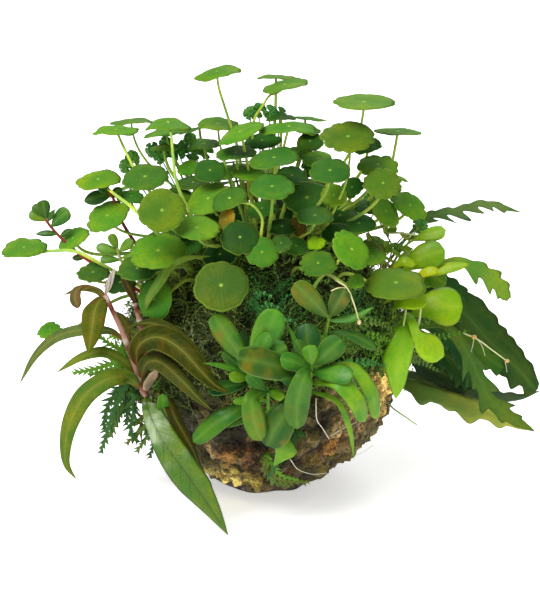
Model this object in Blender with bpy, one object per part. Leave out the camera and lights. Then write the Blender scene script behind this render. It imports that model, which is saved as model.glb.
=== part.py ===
"""An aquarium plant ball: a wet lump of substrate grown over with moss, which carries five kinds of plant.

Lengths are written in millimetres and turned to metres when a mesh is made. +Z is up, and the origin is the
middle of the flat spot that the ball rests on. Pixels are those of a picture 540 wide and 600 high, taken from
in front and a little above.
"""

import math
from collections import namedtuple

import bmesh
import bpy
from mathutils import Vector, noise
from mathutils.bvhtree import BVHTree

MM = 0.001

# The ball
BALL_CENTRE = Vector((0.0, 0.0, 50.0))
BALL_ACROSS = 53.5
BALL_DEEP = 53.0
BALL_UP = 51.5
FOOT_RADIUS = 19.5
RING_ANGLES = (11, 23, 35, 47, 59, 71, 83, 95, 107, 119, 130, 141, 150)
SPOKES = 26
MOSS_DEPTH = 4.6
MOSS_EDGE = 1.3
GAP = 0.3

# The picture: real height of a pixel, and where the eye stands
MM_PER_PIXEL = 0.4
MIDDLE_PX = 270.0
MIDDLE_PY = 300.0
LOOK_AT = Vector((2.0, 0.0, 75.0))
EYE_DISTANCE = 1000.0
EYE_RISE = math.radians(18.0)
TO_EYE = Vector((0.0, -math.cos(EYE_RISE), math.sin(EYE_RISE)))
PICTURE_UP = Vector((0.0, math.sin(EYE_RISE), math.cos(EYE_RISE)))
PICTURE_RIGHT = Vector((1.0, 0.0, 0.0))

# Leaves and stalks
PETIOLE_RADIUS = 0.6
BLADE_THICK = 0.6
ROOT_TURN = 0.6
ROOT_REACH_DEG = 66.0
PETIOLE_STEPS = 7
SCALLOP = 0.06
STEM_RADIUS = 1.15
SPRIG_RADIUS = 1.25
STEM_SIDES = 6
STEM_STEPS = 9
LOBE_RAKE = 0.55
BLADE_STEPS = 8
FINE_STEPS = 12
ROOT_RUN = 2.5

COLOURS = {
    "substrate": (0.16, 0.11, 0.06, 1.0),
    "moss": (0.03, 0.07, 0.02, 1.0),
    "pennywort": (0.10, 0.30, 0.04, 1.0),
    "bronze": (0.16, 0.15, 0.03, 1.0),
    "pink_stem": (0.45, 0.17, 0.13, 1.0),
    "lobed": (0.06, 0.20, 0.04, 1.0),
    "lime": (0.36, 0.56, 0.02, 1.0),
    "rosette": (0.09, 0.36, 0.04, 1.0),
}

Round = namedtuple("Round", "name px py toward wide high lean arch")
Blade = namedtuple("Blade", "name colour root route wide shape face fold")


def seen_at(px, py, toward):
    """The point seen at a pixel, when it is known how far it stands toward the viewer."""
    up = (MIDDLE_PY - py) * MM_PER_PIXEL
    cosine = math.cos(EYE_RISE)
    sine = math.sin(EYE_RISE)
    rise = up * (EYE_DISTANCE - toward * cosine) + EYE_DISTANCE * toward * sine
    rise /= EYE_DISTANCE * cosine + up * sine
    depth = toward * cosine + rise * sine
    across = (px - MIDDLE_PX) * MM_PER_PIXEL * (EYE_DISTANCE - depth) / EYE_DISTANCE
    return Vector((LOOK_AT.x + across, -toward, LOOK_AT.z + rise))


def span_point(four, knots, t):
    """A point of a Catmull-Rom span whose knots follow the distances between its points."""
    a, b, c, d = four
    ta, tb, tc, td = knots
    ab = a.lerp(b, (t - ta) / (tb - ta))
    bc = b.lerp(c, (t - tb) / (tc - tb))
    cd = c.lerp(d, (t - tc) / (td - tc))
    abc = ab.lerp(bc, (t - ta) / (tc - ta))
    bcd = bc.lerp(cd, (t - tb) / (td - tb))
    return abc.lerp(bcd, (t - tb) / (tc - tb))


def smooth_route(points, count):
    """Points at equal distances along a smooth curve through the given ones."""
    ends = [points[0] * 2 - points[1]] + list(points) + [points[-1] * 2 - points[-2]]
    knots = [0.0]
    for a, b in zip(ends, ends[1:]):
        knots.append(knots[-1] + math.sqrt((b - a).length))
    fine = []
    for span in range(len(points) - 1):
        four, marks = ends[span:span + 4], knots[span:span + 4]
        for step in range(FINE_STEPS):
            fine.append(span_point(four, marks, marks[1] + (marks[2] - marks[1]) * step / FINE_STEPS))
    fine.append(points[-1].copy())
    return [point_along(fine, step / count) for step in range(count + 1)]


def point_along(route, share):
    """The point at a share of a route's length."""
    lengths = [(b - a).length for a, b in zip(route, route[1:])]
    left = share * sum(lengths)
    for a, b, length in zip(route, route[1:], lengths):
        if left <= length:
            return a.lerp(b, left / length)
        left -= length
    return route[-1].copy()


def material(name, roughness=0.5):
    made = bpy.data.materials.get(name) or bpy.data.materials.new(name)
    made.use_nodes = True
    shader = made.node_tree.nodes["Principled BSDF"]
    shader.inputs["Base Color"].default_value = COLOURS[name]
    shader.inputs["Roughness"].default_value = roughness
    shader.inputs["Metallic"].default_value = 0.0
    return made


def add_object(name, mesh_in_mm, colour, smooth=True):
    """Turn a mesh in millimetres into a named object in metres."""
    bmesh.ops.recalc_face_normals(mesh_in_mm, faces=mesh_in_mm.faces[:])
    bmesh.ops.scale(mesh_in_mm, vec=(MM, MM, MM), verts=mesh_in_mm.verts[:])
    mesh = bpy.data.meshes.new(name)
    mesh_in_mm.to_mesh(mesh)
    mesh_in_mm.free()
    if smooth:
        mesh.shade_smooth()
        mesh.set_sharp_from_angle(angle=math.radians(50))
    mesh.materials.append(material(colour))
    made = bpy.data.objects.new(name, mesh)
    bpy.context.scene.collection.objects.link(made)
    return made


def way_out(ring_deg, spoke):
    """The direction from the ball's centre, by angle down from the top and spoke number."""
    down = math.radians(ring_deg)
    round_by = math.tau * spoke / SPOKES
    return Vector((math.sin(down) * math.cos(round_by), math.sin(down) * math.sin(round_by), math.cos(down)))


def ball_reach(way):
    """How far the lumpy substrate reaches from the centre in one direction."""
    oval = 1.0 / math.sqrt((way.x / BALL_ACROSS) ** 2 + (way.y / BALL_DEEP) ** 2 + (way.z / BALL_UP) ** 2)
    return oval + 2.2 * noise.noise(way * 2.3) + 1.1 * noise.noise(way * 6.1 + Vector((3, 1, 7)))


def moss_thickness(way):
    return MOSS_DEPTH + 1.6 * noise.noise(way * 4.0 + Vector((9, 2, 5)))


def moss_rings(spoke):
    """How many rings down from the top the moss reaches on a spoke: least at the front right."""
    front = math.cos(math.tau * spoke / SPOKES + math.radians(60))
    ragged = 1.2 * noise.noise(Vector((spoke * 0.9, 4.0, 0.0)))
    return round(7.6 - 1.3 * front + ragged)


def ball_grid():
    """Points of the substrate, ring by ring from the top down to the flat foot."""
    grid = []
    for ring_deg in RING_ANGLES:
        grid.append([BALL_CENTRE + way_out(ring_deg, s) * ball_reach(way_out(ring_deg, s)) for s in range(SPOKES)])
    foot = []
    for s in range(SPOKES):
        way = way_out(90, s)
        reach = FOOT_RADIUS + 1.8 * noise.noise(way * 2.0)
        foot.append(Vector((way.x * reach, way.y * reach, 0.0)))
    grid.append(foot)
    return grid


def make_ball(grid):
    shape = bmesh.new()
    top = shape.verts.new(BALL_CENTRE + Vector((0, 0, ball_reach(Vector((0, 0, 1))))))
    rings = [[shape.verts.new(point) for point in ring] for ring in grid]
    for s in range(SPOKES):
        t = (s + 1) % SPOKES
        shape.faces.new((top, rings[0][s], rings[0][t]))
        for upper, lower in zip(rings, rings[1:]):
            shape.faces.new((upper[s], lower[s], lower[t]))
            shape.faces.new((upper[s], lower[t], upper[t]))
    shape.faces.new(rings[-1])
    return add_object("substrate_ball", shape, "substrate")


def make_moss(grid):
    """A skin over the ball, on the same spokes and rings, so that the gap under it is even."""
    shape = bmesh.new()
    depth = [moss_rings(s) for s in range(SPOKES)]
    up = Vector((0, 0, 1))
    top_point = BALL_CENTRE + up * ball_reach(up)
    inner_top = shape.verts.new(top_point + up * GAP)
    outer_top = shape.verts.new(top_point + up * moss_thickness(up))
    inner, outer = [], []
    for ring, ring_deg in zip(grid, RING_ANGLES):
        inner.append([])
        outer.append([])
        for s, point in enumerate(ring):
            way = way_out(ring_deg, s)
            here = len(inner) - 1
            edge = min(depth[s], depth[s - 1], depth[(s + 1) % SPOKES])
            share = min(1.0, max(0.0, (edge - here) / 2.0))
            thick = MOSS_EDGE + (moss_thickness(way) - MOSS_EDGE) * share
            inner[-1].append(point + way * GAP)
            outer[-1].append(point + way * (GAP + thick))
    made = {}

    def vert(side, ring, spoke):
        key = (side, ring, spoke % SPOKES)
        if key not in made:
            made[key] = shape.verts.new((outer if side else inner)[ring][spoke % SPOKES])
        return made[key]

    def cell_depth(spoke):
        return min(depth[spoke % SPOKES], depth[(spoke + 1) % SPOKES])

    for s in range(SPOKES):
        shape.faces.new((outer_top, vert(1, 0, s), vert(1, 0, s + 1)))
        shape.faces.new((inner_top, vert(0, 0, s + 1), vert(0, 0, s)))
        for ring in range(cell_depth(s)):
            for side in (0, 1):
                a, b = vert(side, ring, s), vert(side, ring + 1, s)
                c, d = vert(side, ring + 1, s + 1), vert(side, ring, s + 1)
                shape.faces.new((a, b, c) if side else (a, c, b))
                shape.faces.new((a, c, d) if side else (a, d, c))
    rim = [edge for edge in shape.edges if len(edge.link_faces) == 1]
    pair = {}
    for (side, ring, spoke), v in made.items():
        pair[v] = made.get((1 - side, ring, spoke))
    outer_verts = {v for (side, ring, spoke), v in made.items() if side}
    for edge in rim:
        a, b = edge.verts
        if a in outer_verts:
            shape.faces.new((a, b, pair[b], pair[a]))
    return add_object("moss_mat", shape, "moss")


def ground_finder(objects):
    """A function that finds where a line to the ball's centre first meets the moss or the substrate."""
    trees = []
    for made in objects:
        points = [v.co / MM for v in made.data.vertices]
        trees.append(BVHTree.FromPolygons(points, [p.vertices[:] for p in made.data.polygons]))

    def on_ground(way, lift=GAP):
        start = BALL_CENTRE + way * 200.0
        hits = [tree.ray_cast(start, -way)[0] for tree in trees]
        nearest = max((hit for hit in hits if hit), key=lambda hit: (hit - BALL_CENTRE).dot(way))
        return nearest + way * lift

    return on_ground


def petiole_route(centre, normal, on_ground, steps):
    """From under a round blade down to the moss, leaving square to the blade and arriving square to the ball."""
    way = (centre - BALL_CENTRE).normalized()
    down = min(math.acos(way.z) * ROOT_TURN, math.radians(ROOT_REACH_DEG))
    flat = Vector((way.x, way.y, 0)).normalized()
    root_way = flat * math.sin(down) + Vector((0, 0, math.cos(down)))
    root = on_ground(root_way)
    start = centre - normal * (0.5 * BLADE_THICK)
    far = (start - root).length
    knee = start - normal * far * 0.32
    ankle = root + root_way * far * 0.36
    route = []
    for step in range(1, steps + 1):
        t = step / steps
        route.append(start * (1 - t) ** 3 + knee * 3 * t * (1 - t) ** 2
                     + ankle * 3 * t * t * (1 - t) + root * t ** 3)
    return route, root_way


def sweep_ring(shape, ring, route, end_way, radius):
    """Extend a ring of vertices along a route and close its end."""
    count = len(ring)
    for step, point in enumerate(route):
        before = route[step - 1] if step else point - (route[1] - route[0])
        after = route[step + 1] if step + 1 < len(route) else point - end_way
        along = (after - before).normalized()
        middle = sum((v.co for v in ring), Vector()) / count
        side = ring[0].co - middle
        side = (side - along * side.dot(along)).normalized()
        other = along.cross(side)
        turn = 1 if (ring[1].co - middle).dot(other) > 0 else -1
        fresh = []
        for k in range(count):
            angle = turn * math.tau * k / count
            fresh.append(shape.verts.new(point + (side * math.cos(angle) + other * math.sin(angle)) * radius))
        for k in range(count):
            m = (k + 1) % count
            shape.faces.new((ring[k], ring[m], fresh[m], fresh[k]))
        ring = fresh
    shape.faces.new(ring)


def facing(wide, high, lean_deg):
    """The long axis and the upward normal of a round blade, from the ellipse that it makes in the picture."""
    tip = math.acos(min(high / wide, 0.98))
    lean = math.radians(lean_deg)
    long_axis = PICTURE_RIGHT * math.cos(lean) + PICTURE_UP * math.sin(lean)
    short_axis = PICTURE_UP * math.cos(lean) - PICTURE_RIGHT * math.sin(lean)
    return long_axis, TO_EYE * math.cos(tip) + short_axis * math.sin(tip)


def round_leaf(name, centre, across, long_axis, normal, arch, on_ground):
    """A peltate blade with a scalloped edge, on a thin stalk from its middle."""
    radius = across / 2
    cross_axis = normal.cross(long_axis).normalized()
    shape = bmesh.new()

    def place(reach, angle, lift):
        along = reach * math.cos(angle)
        droop = arch * (along / radius) ** 2 + 0.06 * radius * (reach / radius) ** 2
        return (centre + long_axis * along + cross_axis * (reach * math.sin(angle))
                + normal * (lift - droop))

    half = BLADE_THICK / 2
    top = shape.verts.new(place(0, 0, half - 0.1 * radius * 0.4))
    mids = [math.tau * k / 8 for k in range(8)]
    upper = [shape.verts.new(place(radius * 0.55, a, half)) for a in mids]
    lower = [shape.verts.new(place(radius * 0.55, a, -half)) for a in mids]
    rim = []
    for k in range(16):
        reach = radius * (1.0 if k % 2 else 1.0 - SCALLOP)
        rim.append(shape.verts.new(place(reach, math.tau * k / 16, 0)))
    collar = []
    for k in range(4):
        collar.append(shape.verts.new(place(PETIOLE_RADIUS, math.tau * k / 4, -half)))
    for k in range(8):
        m = (k + 1) % 8
        shape.faces.new((top, upper[k], upper[m]))
        for ring in (upper, lower):
            shape.faces.new((ring[k], rim[2 * k], rim[2 * k + 1]))
            shape.faces.new((ring[k], rim[2 * k + 1], ring[m]))
            shape.faces.new((ring[m], rim[2 * k + 1], rim[(2 * k + 2) % 16]))
    for k in range(4):
        m = (k + 1) % 4
        shape.faces.new((collar[k], lower[2 * k], lower[2 * k + 1]))
        shape.faces.new((collar[k], lower[2 * k + 1], collar[m]))
        shape.faces.new((collar[m], lower[2 * k + 1], lower[(2 * k + 2) % 8]))
    route, root_way = petiole_route(centre, normal, on_ground, PETIOLE_STEPS)
    sweep_ring(shape, collar, route, root_way, PETIOLE_RADIUS)
    return add_object(name, shape, "pennywort")


# Width along a blade from base to tip: exponents of the two ends, and the width of the stalk
SHAPES = {
    "willow": (0.75, 0.95, 1.3),
    "spoon": (1.25, 0.55, 1.4),
    "egg": (0.8, 0.75, 1.4),
    "disc": (1.2, 0.45, 1.4),
}

# Fronds cut into lobes: how many to a side, and how wide the blade stays between them
FRONDS = {
    "narrow_frond": (7, 0.45),
    "broad_frond": (6, 0.75),
}


def half_width(shape_name, t, wide):
    base, tip, stalk = SHAPES[shape_name]
    top = (base / (base + tip)) ** base * (tip / (base + tip)) ** tip
    return 0.5 * max(wide * t ** base * (1 - t) ** tip / top, stalk * (1 - t))


def lobed_width(frond, t, wide):
    """Half the width of a frond cut into blunt lobes: wide at each lobe, narrow between them."""
    lobes, waist = FRONDS[frond]
    envelope = 0.5 * wide * min(1.0, 3.2 * t + 0.1) * (1 - t) ** 0.35
    inside = waist + (1 - waist) * abs(math.sin(math.pi * lobes * t))
    return max(envelope * inside, 0.7)


def grow_blade(shape, route, widths, face, fold, ring=None, rake=0.0):
    """A leaf along a route: a thin lens whose two edges stand off the midrib by the given half widths."""
    count = len(route) - 1
    for step, point in enumerate(route):
        before = route[max(step - 1, 0)]
        after = route[min(step + 1, count)]
        along = (after - before).normalized()
        side = along.cross(face).normalized()
        normal = side.cross(along)
        if step == count:
            tip = shape.verts.new(point)
            for k in range(4):
                shape.faces.new((ring[k], ring[(k + 1) % 4], tip))
            return
        half = widths[step]
        thick = min(0.35, 0.25 + 0.5 * half) if step else 0.5
        lift = normal * (fold * half) + along * (rake * half)
        corners = (point - side * half + lift, point + normal * thick,
                   point + side * half + lift, point - normal * thick)
        fresh = [shape.verts.new(corner) for corner in corners]
        if ring is None:
            shape.faces.new(fresh)
        else:
            best = min(range(4), key=lambda k: sum((ring[(k + j) % 4].co - fresh[j].co).length for j in range(4)))
            flipped = [ring[0], ring[3], ring[2], ring[1]]
            best_back = min(range(4), key=lambda k: sum((flipped[(k + j) % 4].co - fresh[j].co).length
                                                        for j in range(4)))
            straight = [ring[(best + j) % 4] for j in range(4)]
            turned = [flipped[(best_back + j) % 4] for j in range(4)]
            gap_straight = sum((a.co - b.co).length for a, b in zip(straight, fresh))
            gap_turned = sum((a.co - b.co).length for a, b in zip(turned, fresh))
            ring = straight if gap_straight <= gap_turned else turned
            # Each strip is cut from an edge to the midrib, alike above and below, so that the two skins never cross
            for k in range(4):
                m = (k + 1) % 4
                if k % 2:
                    shape.faces.new((ring[k], ring[m], fresh[k]))
                    shape.faces.new((ring[m], fresh[m], fresh[k]))
                else:
                    shape.faces.new((ring[k], ring[m], fresh[m]))
                    shape.faces.new((ring[k], fresh[m], fresh[k]))
        ring = fresh


def way_of(face):
    """A facing written as right, toward the viewer, up."""
    right, toward, up = face
    return Vector((right, -toward, up)).normalized()


def root_of(blade, on_ground, stems):
    """Where a blade starts: on the ball under its first spot, or at the side of a stem."""
    first = seen_at(*blade.route[0])
    if blade.root == "ball":
        way = (first - BALL_CENTRE).normalized()
        root = on_ground(way)
        return [root, root + way * ROOT_RUN]
    stem_name, place = blade.root
    middle = point_along(stems[stem_name], place)
    along = (point_along(stems[stem_name], place + 0.03) - point_along(stems[stem_name], place - 0.03)).normalized()
    out = first - middle
    out = (out - along * out.dot(along)).normalized()
    stalk = SHAPES[blade.shape][2]
    return [middle + out * (STEM_RADIUS + stalk / 2 + GAP)]


def make_blade(blade, on_ground, stems):
    spots = [seen_at(*spot) for spot in blade.route]
    start = root_of(blade, on_ground, stems)
    if blade.root == "ball":
        spots = spots[1:]
    lobed = blade.shape in FRONDS
    steps = 2 * FRONDS[blade.shape][0] if lobed else BLADE_STEPS
    width_at = lobed_width if lobed else half_width
    route = smooth_route(start + spots, steps)
    widths = [width_at(blade.shape, k / steps, blade.wide) for k in range(steps + 1)]
    shape = bmesh.new()
    grow_blade(shape, route, widths, way_of(blade.face), blade.fold, rake=LOBE_RAKE if lobed else 0.0)
    return add_object(blade.name, shape, blade.colour)


def make_stem(shape, route, radius, sides):
    """A tube through the route with both ends closed, and its side faces in order."""
    rings = []
    for step, point in enumerate(route):
        along = (route[min(step + 1, len(route) - 1)] - route[max(step - 1, 0)]).normalized()
        side = along.cross(Vector((0, 1, 0))).normalized()
        other = along.cross(side)
        rings.append([shape.verts.new(point + radius * (side * math.cos(math.tau * k / sides)
                                                        + other * math.sin(math.tau * k / sides)))
                      for k in range(sides)])
    faces = []
    for lower, upper in zip(rings, rings[1:]):
        for k in range(sides):
            m = (k + 1) % sides
            faces.append(shape.faces.new((lower[k], lower[m], upper[m], upper[k])))
    shape.faces.new(rings[0])
    shape.faces.new(rings[-1])
    return faces


def rooted_route(spots, on_ground, steps):
    """A stem's route, which starts square to the ball under its first spot."""
    points = [seen_at(*spot) for spot in spots]
    way = (points[0] - BALL_CENTRE).normalized()
    root = on_ground(way, 2 * GAP)
    return smooth_route([root, root + way * ROOT_RUN] + points[1:], steps)


def make_sprig(name, stem, leaves, on_ground, colour="rosette"):
    """A short stem with its leaves grown out of its sides as one piece."""
    shape = bmesh.new()
    route = rooted_route(stem, on_ground, max(4, len(leaves)))
    free = make_stem(shape, route, SPRIG_RADIUS, STEM_SIDES)
    for tip, wide, place, outline, face in leaves:
        end = seen_at(*tip)
        base = route[0].lerp(route[-1], place)
        heading = (end - base).normalized()

        def fit(quad):
            middle = quad.calc_center_median()
            return (middle - base).length - 3.0 * quad_normal(quad, route).dot(heading)

        chosen = min(free, key=fit)
        free.remove(chosen)
        ring = list(chosen.verts)
        start = chosen.calc_center_median()
        outward = quad_normal(chosen, route)
        shape.faces.remove(chosen)
        far = (end - start).length
        bend = start + (outward * 0.25 + heading * 0.25 + way_of(face) * 0.06).normalized() * far * 0.4
        line = smooth_route([start, bend * 0.5 + (start + (end - start) * 0.45) * 0.5, end], 5)
        widths = [half_width(outline, k / 5, wide) for k in range(6)]
        grow_blade(shape, line[1:], widths[1:], way_of(face), 0.12, ring)
    return add_object(name, shape, colour)


def quad_normal(quad, route):
    """The way a side face looks: away from the nearest point of the stem's middle line."""
    middle = quad.calc_center_median()
    nearest = min((a.lerp(b, 0.5) for a, b in zip(route, route[1:])), key=lambda p: (p - middle).length)
    return (middle - nearest).normalized()


# Round leaves that show from the front: place in the picture, distance toward the viewer, size of the ellipse
PENNYWORT = (
    Round("01_top_left", 217, 71, -5, 47, 16, 12, 1.0),
    Round("02_top_middle", 284, 85, -16, 48, 16, 12, 1.0),
    Round("03_top_right", 364, 101, 5, 63, 19, 0, 1.0),
    Round("04_right_edge_on", 398, 131, -10, 47, 11, -3, 0.8),
    Round("05_right_big", 348, 136, 18, 55, 33, 0, 0.8),
    Round("06_left_upper", 116, 129, -5, 47, 13, 2, 0.8),
    Round("07_left_arched", 168, 122, 0, 48, 15, 0, 2.4),
    Round("08_back_middle", 218, 123, -12, 43, 16, 0, 0.8),
    Round("09_middle_slanted", 241, 131, 6, 50, 20, 22, 0.8),
    Round("10_middle_long", 289, 126, 5, 58, 16, 0, 2.0),
    Round("11_left_outer", 98, 179, 6, 45, 21, 6, 0.8),
    Round("12_left_inner", 145, 176, 22, 48, 28, 8, 0.8),
    Round("13_right_scalloped", 378, 164, 12, 42, 24, 0, 0.8),
    Round("14_right_olive", 383, 183, 28, 39, 32, 0, 0.6),
    Round("15_right_dark", 330, 170, 32, 42, 28, 0, 0.8),
    Round("16_middle_front", 272, 186, 40, 46, 28, 3, 0.8),
    Round("17_middle_high", 274, 157, 24, 50, 23, 10, 0.8),
    Round("18_left_ribbed", 162, 210, 48, 48, 43, 0, 0.5),
    Round("19_left_low", 158, 250, 40, 57, 38, 5, 0.8),
    Round("20_left_light", 197, 227, 44, 47, 26, 0, 0.8),
    Round("21_middle_dark", 240, 237, 44, 40, 36, 0, 0.8),
    Round("22_front_ribbed", 221, 285, 62, 57, 49, 0, 0.5),
    Round("23_right_steep", 352, 249, 48, 40, 34, -58, 0.8),
    Round("24_front_scalloped", 318, 263, 54, 38, 27, 3, 0.8),
    Round("25_right_low", 396, 282, 44, 61, 34, 0, 0.8),
    Round("26_right_leaning", 410, 205, 4, 40, 24, -30, 0.8),
    Round("27_left_far", 24, 247, 15, 46, 21, 6, 1.0),
    Round("28_left_tipped", 73, 238, 10, 34, 19, 30, 0.8),
    Round("29_left_slanted", 107, 215, 14, 47, 29, 28, 0.8),
)

Hidden = namedtuple("Hidden", "name round_deg reach height wide tip_deg")

# Round leaves on the side away from the viewer, by angle round the ball from +X
HIDDEN_PENNYWORT = (
    Hidden("30_rear_right", 38, 62, 118, 21, 24),
    Hidden("31_rear_upper_right", 68, 44, 140, 19, 12),
    Hidden("32_rear_middle", 96, 66, 112, 22, 30),
    Hidden("33_rear_upper_left", 124, 48, 136, 18, 14),
    Hidden("34_rear_left", 150, 64, 114, 21, 26),
)

BLADES = (
    Blade("bronze_leaf_1_upper", "bronze", ("bronze_stem_1", 0.97),
          ((101, 300, 38), (95, 310, 43), (92, 330, 48), (88, 354, 51)), 9.6, "willow", (-0.6, 0.6, 0.5), 0.25),
    Blade("bronze_leaf_2_far_left", "bronze", ("bronze_stem_1", 0.63),
          ((113, 332, 36), (100, 330, 32), (81, 330, 26), (56, 337, 20), (35, 356, 14), (19, 385, 12)),
          5.4, "willow", (-0.2, 0.8, 0.8), 0.2),
    Blade("bronze_leaf_3_left", "bronze", ("bronze_stem_1", 0.31),
          ((122, 360, 42), (104, 352, 44), (81, 357, 42), (56, 373, 38)), 4.6, "willow", (-0.1, 0.8, 0.8), 0.2),
    Blade("bronze_leaf_4_drooping", "bronze", ("bronze_stem_1", 0.17),
          ((126, 378, 45), (108, 381, 52), (86, 396, 56), (70, 422, 56), (65, 450, 53), (76, 480, 50)),
          9.0, "willow", (-0.3, 0.9, 0.5), 0.2),
    Blade("bronze_leaf_5_behind", "bronze", ("bronze_stem_1", 0.59),
          ((132, 327, 41), (158, 326, 45), (187, 343, 52), (208, 367, 58), (231, 391, 61)),
          7.6, "willow", (0.3, 0.8, 0.7), 0.2),
    Blade("bronze_leaf_6_right", "bronze", ("bronze_stem_1", 0.4),
          ((141, 344, 46), (166, 348, 56), (186, 362, 65), (204, 384, 70), (214, 402, 71)),
          8.4, "willow", (0.3, 0.8, 0.6), 0.2),
    Blade("bronze_leaf_7_low_right", "bronze", ("bronze_stem_1", 0.27),
          ((146, 364, 46), (160, 366, 55), (180, 383, 65), (209, 414, 69)), 7.0, "willow", (0.2, 0.8, 0.6), 0.2),
    Blade("bronze_leaf_8_front_green", "rosette", ("bronze_stem_1", 0.06),
          ((147, 404, 48), (152, 420, 58), (165, 444, 66), (185, 472, 71), (207, 503, 75), (228, 535, 76)),
          13.4, "willow", (0.1, 1.0, 0.35), 0.15),
    Blade("lobed_leaf_1_top", "lobed", "ball",
          ((392, 262, -14), (408, 236, -14), (429, 217, -12), (455, 211, -10), (485, 205, -8), (520, 212, -6)),
          6.2, "narrow_frond", (0.1, 1.0, 0.35), 0.1),
    Blade("lobed_leaf_2_upper", "lobed", "ball",
          ((404, 286, 8), (430, 268, 8), (453, 262, 8), (474, 268, 8), (494, 279, 8), (508, 298, 8)),
          8.4, "narrow_frond", (0.2, 1.0, 0.5), 0.1),
    Blade("lobed_leaf_3_arch", "lobed", "ball",
          ((404, 316, -16), (430, 297, -14), (460, 310, -14), (488, 340, -14), (515, 366, -12), (536, 390, -12)),
          20.0, "broad_frond", (0.2, 0.9, 0.4), 0.1),
    Blade("lobed_leaf_4_bottom", "lobed", "ball",
          ((399, 380, -10), (425, 392, -6), (459, 404, -6), (482, 412, -6), (511, 422, -8), (530, 430, -8)),
          10.0, "broad_frond", (0.0, 0.9, 0.4), 0.1),
    Blade("lobed_leaf_5_front", "lobed", "ball",
          ((404, 330, 2), (440, 324, 6), (463, 344, 8), (476, 370, 8), (488, 398, 8), (509, 418, 8), (534, 431, 6)),
          11.0, "narrow_frond", (0.3, 0.9, 0.4), 0.1),
    Blade("lime_leaf_1_upper", "lime", "ball", ((392, 290, 14), (404, 270, 18), (418, 259, 20), (445, 250, 20)),
          10.4, "disc", (0.0, 0.9, 0.5), 0.1),
    Blade("lime_leaf_2_right", "lime", "ball", ((394, 336, 22), (410, 317, 27), (430, 306, 28), (463, 307, 28)),
          14.5, "disc", (0.1, 0.9, 0.4), 0.1),
    Blade("lime_leaf_3_low_right", "lime", "ball", ((398, 345, 21), (413, 333, 30), (426, 341, 35), (448, 356, 36)),
          11.6, "disc", (0.2, 0.9, 0.3), 0.1),
    Blade("lime_leaf_4_drooping", "lime", "ball", ((392, 332, 26), (404, 326, 38), (401, 356, 44), (395, 398, 44)),
          14.0, "egg", (0.1, 1.0, 0.2), 0.1),
    Blade("hanging_moss", "moss", "ball",
          ((128, 384, 22), (118, 402, 24), (110, 424, 25), (105, 440, 24), (102, 453, 22)),
          9.0, "narrow_frond", (-0.3, 1.0, 0.2), 0.0),
)

BRONZE_STEMS = (
    ("bronze_stem_1", ((147, 394, 32), (135, 366, 40), (124, 336, 39), (105, 295, 35))),
    ("bronze_stem_2", ((152, 356, 32), (145, 341, 33), (140, 322, 31), (135, 303, 29))),
)

# Sprigs of small spoon leaves: the stem, then each leaf's tip, width, place on the stem, outline and facing
SPRIGS = (
    ("rosette_sprig_1_left", ((250, 386, 57), (250, 366, 64)), (
        ((214, 315, 66), 8.4, 1.0, "spoon", (-0.3, 0.9, 0.4)),
        ((279, 311, 64), 10.6, 1.0, "spoon", (0.3, 0.9, 0.4)),
        ((203, 363, 70), 2.6, 0.6, "willow", (0.0, 0.7, 0.7)),
        ((279, 348, 67), 7.0, 1.0, "spoon", (0.1, 0.8, 0.6)),
        ((208, 392, 68), 6.0, 0.2, "spoon", (-0.1, 0.7, 0.7)),
    )),
    ("rosette_sprig_2_middle", ((312, 396, 57), (312, 366, 67)), (
        ((280, 360, 72), 7.0, 0.9, "spoon", (0.0, 0.8, 0.6)),
        ((309, 346, 72), 6.0, 1.0, "spoon", (0.0, 0.9, 0.4)),
        ((342, 340, 68), 8.4, 1.0, "spoon", (0.1, 0.9, 0.4)),
        ((352, 377, 74), 7.6, 0.8, "spoon", (0.1, 0.8, 0.6)),
        ((236, 360, 81), 11.0, 0.5, "spoon", (-0.1, 0.8, 0.6)),
        ((364, 421, 70), 7.6, 0.2, "spoon", (0.3, 0.8, 0.5)),
    )),
    ("rosette_sprig_3_low", ((268, 412, 53), (264, 394, 62)), (
        ((193, 442, 66), 7.6, 0.6, "spoon", (0.0, 0.8, 0.6)),
        ((262, 432, 74), 8.0, 0.9, "spoon", (0.0, 0.9, 0.4)),
        ((280, 446, 70), 12.0, 0.3, "spoon", (0.0, 0.9, 0.4)),
        ((300, 428, 72), 8.8, 0.8, "spoon", (0.0, 1.0, 0.3)),
    )),
    ("rosette_sprig_4_upper", ((329, 342, 55), (329, 318, 60)), (
        ((294, 283, 66), 8.4, 1.0, "spoon", (-0.2, 0.9, 0.5)),
        ((345, 289, 62), 7.2, 1.0, "spoon", (0.2, 0.9, 0.5)),
        ((374, 307, 58), 3.0, 0.9, "willow", (0.0, 0.7, 0.8)),
        ((376, 347, 58), 5.0, 0.4, "spoon", (0.1, 0.8, 0.7)),
    )),
)


def make_pennywort(on_ground):
    for leaf in PENNYWORT:
        long_axis, normal = facing(leaf.wide, leaf.high, leaf.lean)
        centre = seen_at(leaf.px, leaf.py, leaf.toward)
        across = leaf.wide * MM_PER_PIXEL * (EYE_DISTANCE - (centre - LOOK_AT).dot(TO_EYE)) / EYE_DISTANCE
        round_leaf("pennywort_leaf_" + leaf.name, centre, across, long_axis, normal, leaf.arch, on_ground)
    for leaf in HIDDEN_PENNYWORT:
        turn = math.radians(leaf.round_deg)
        out = Vector((math.cos(turn), math.sin(turn), 0))
        tip = math.radians(leaf.tip_deg)
        normal = out * math.sin(tip) + Vector((0, 0, math.cos(tip)))
        across_way = out.cross(Vector((0, 0, 1)))
        centre = out * leaf.reach + Vector((0, 0, leaf.height))
        round_leaf("pennywort_leaf_" + leaf.name, centre, leaf.wide, across_way, normal, 0.8, on_ground)


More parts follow.
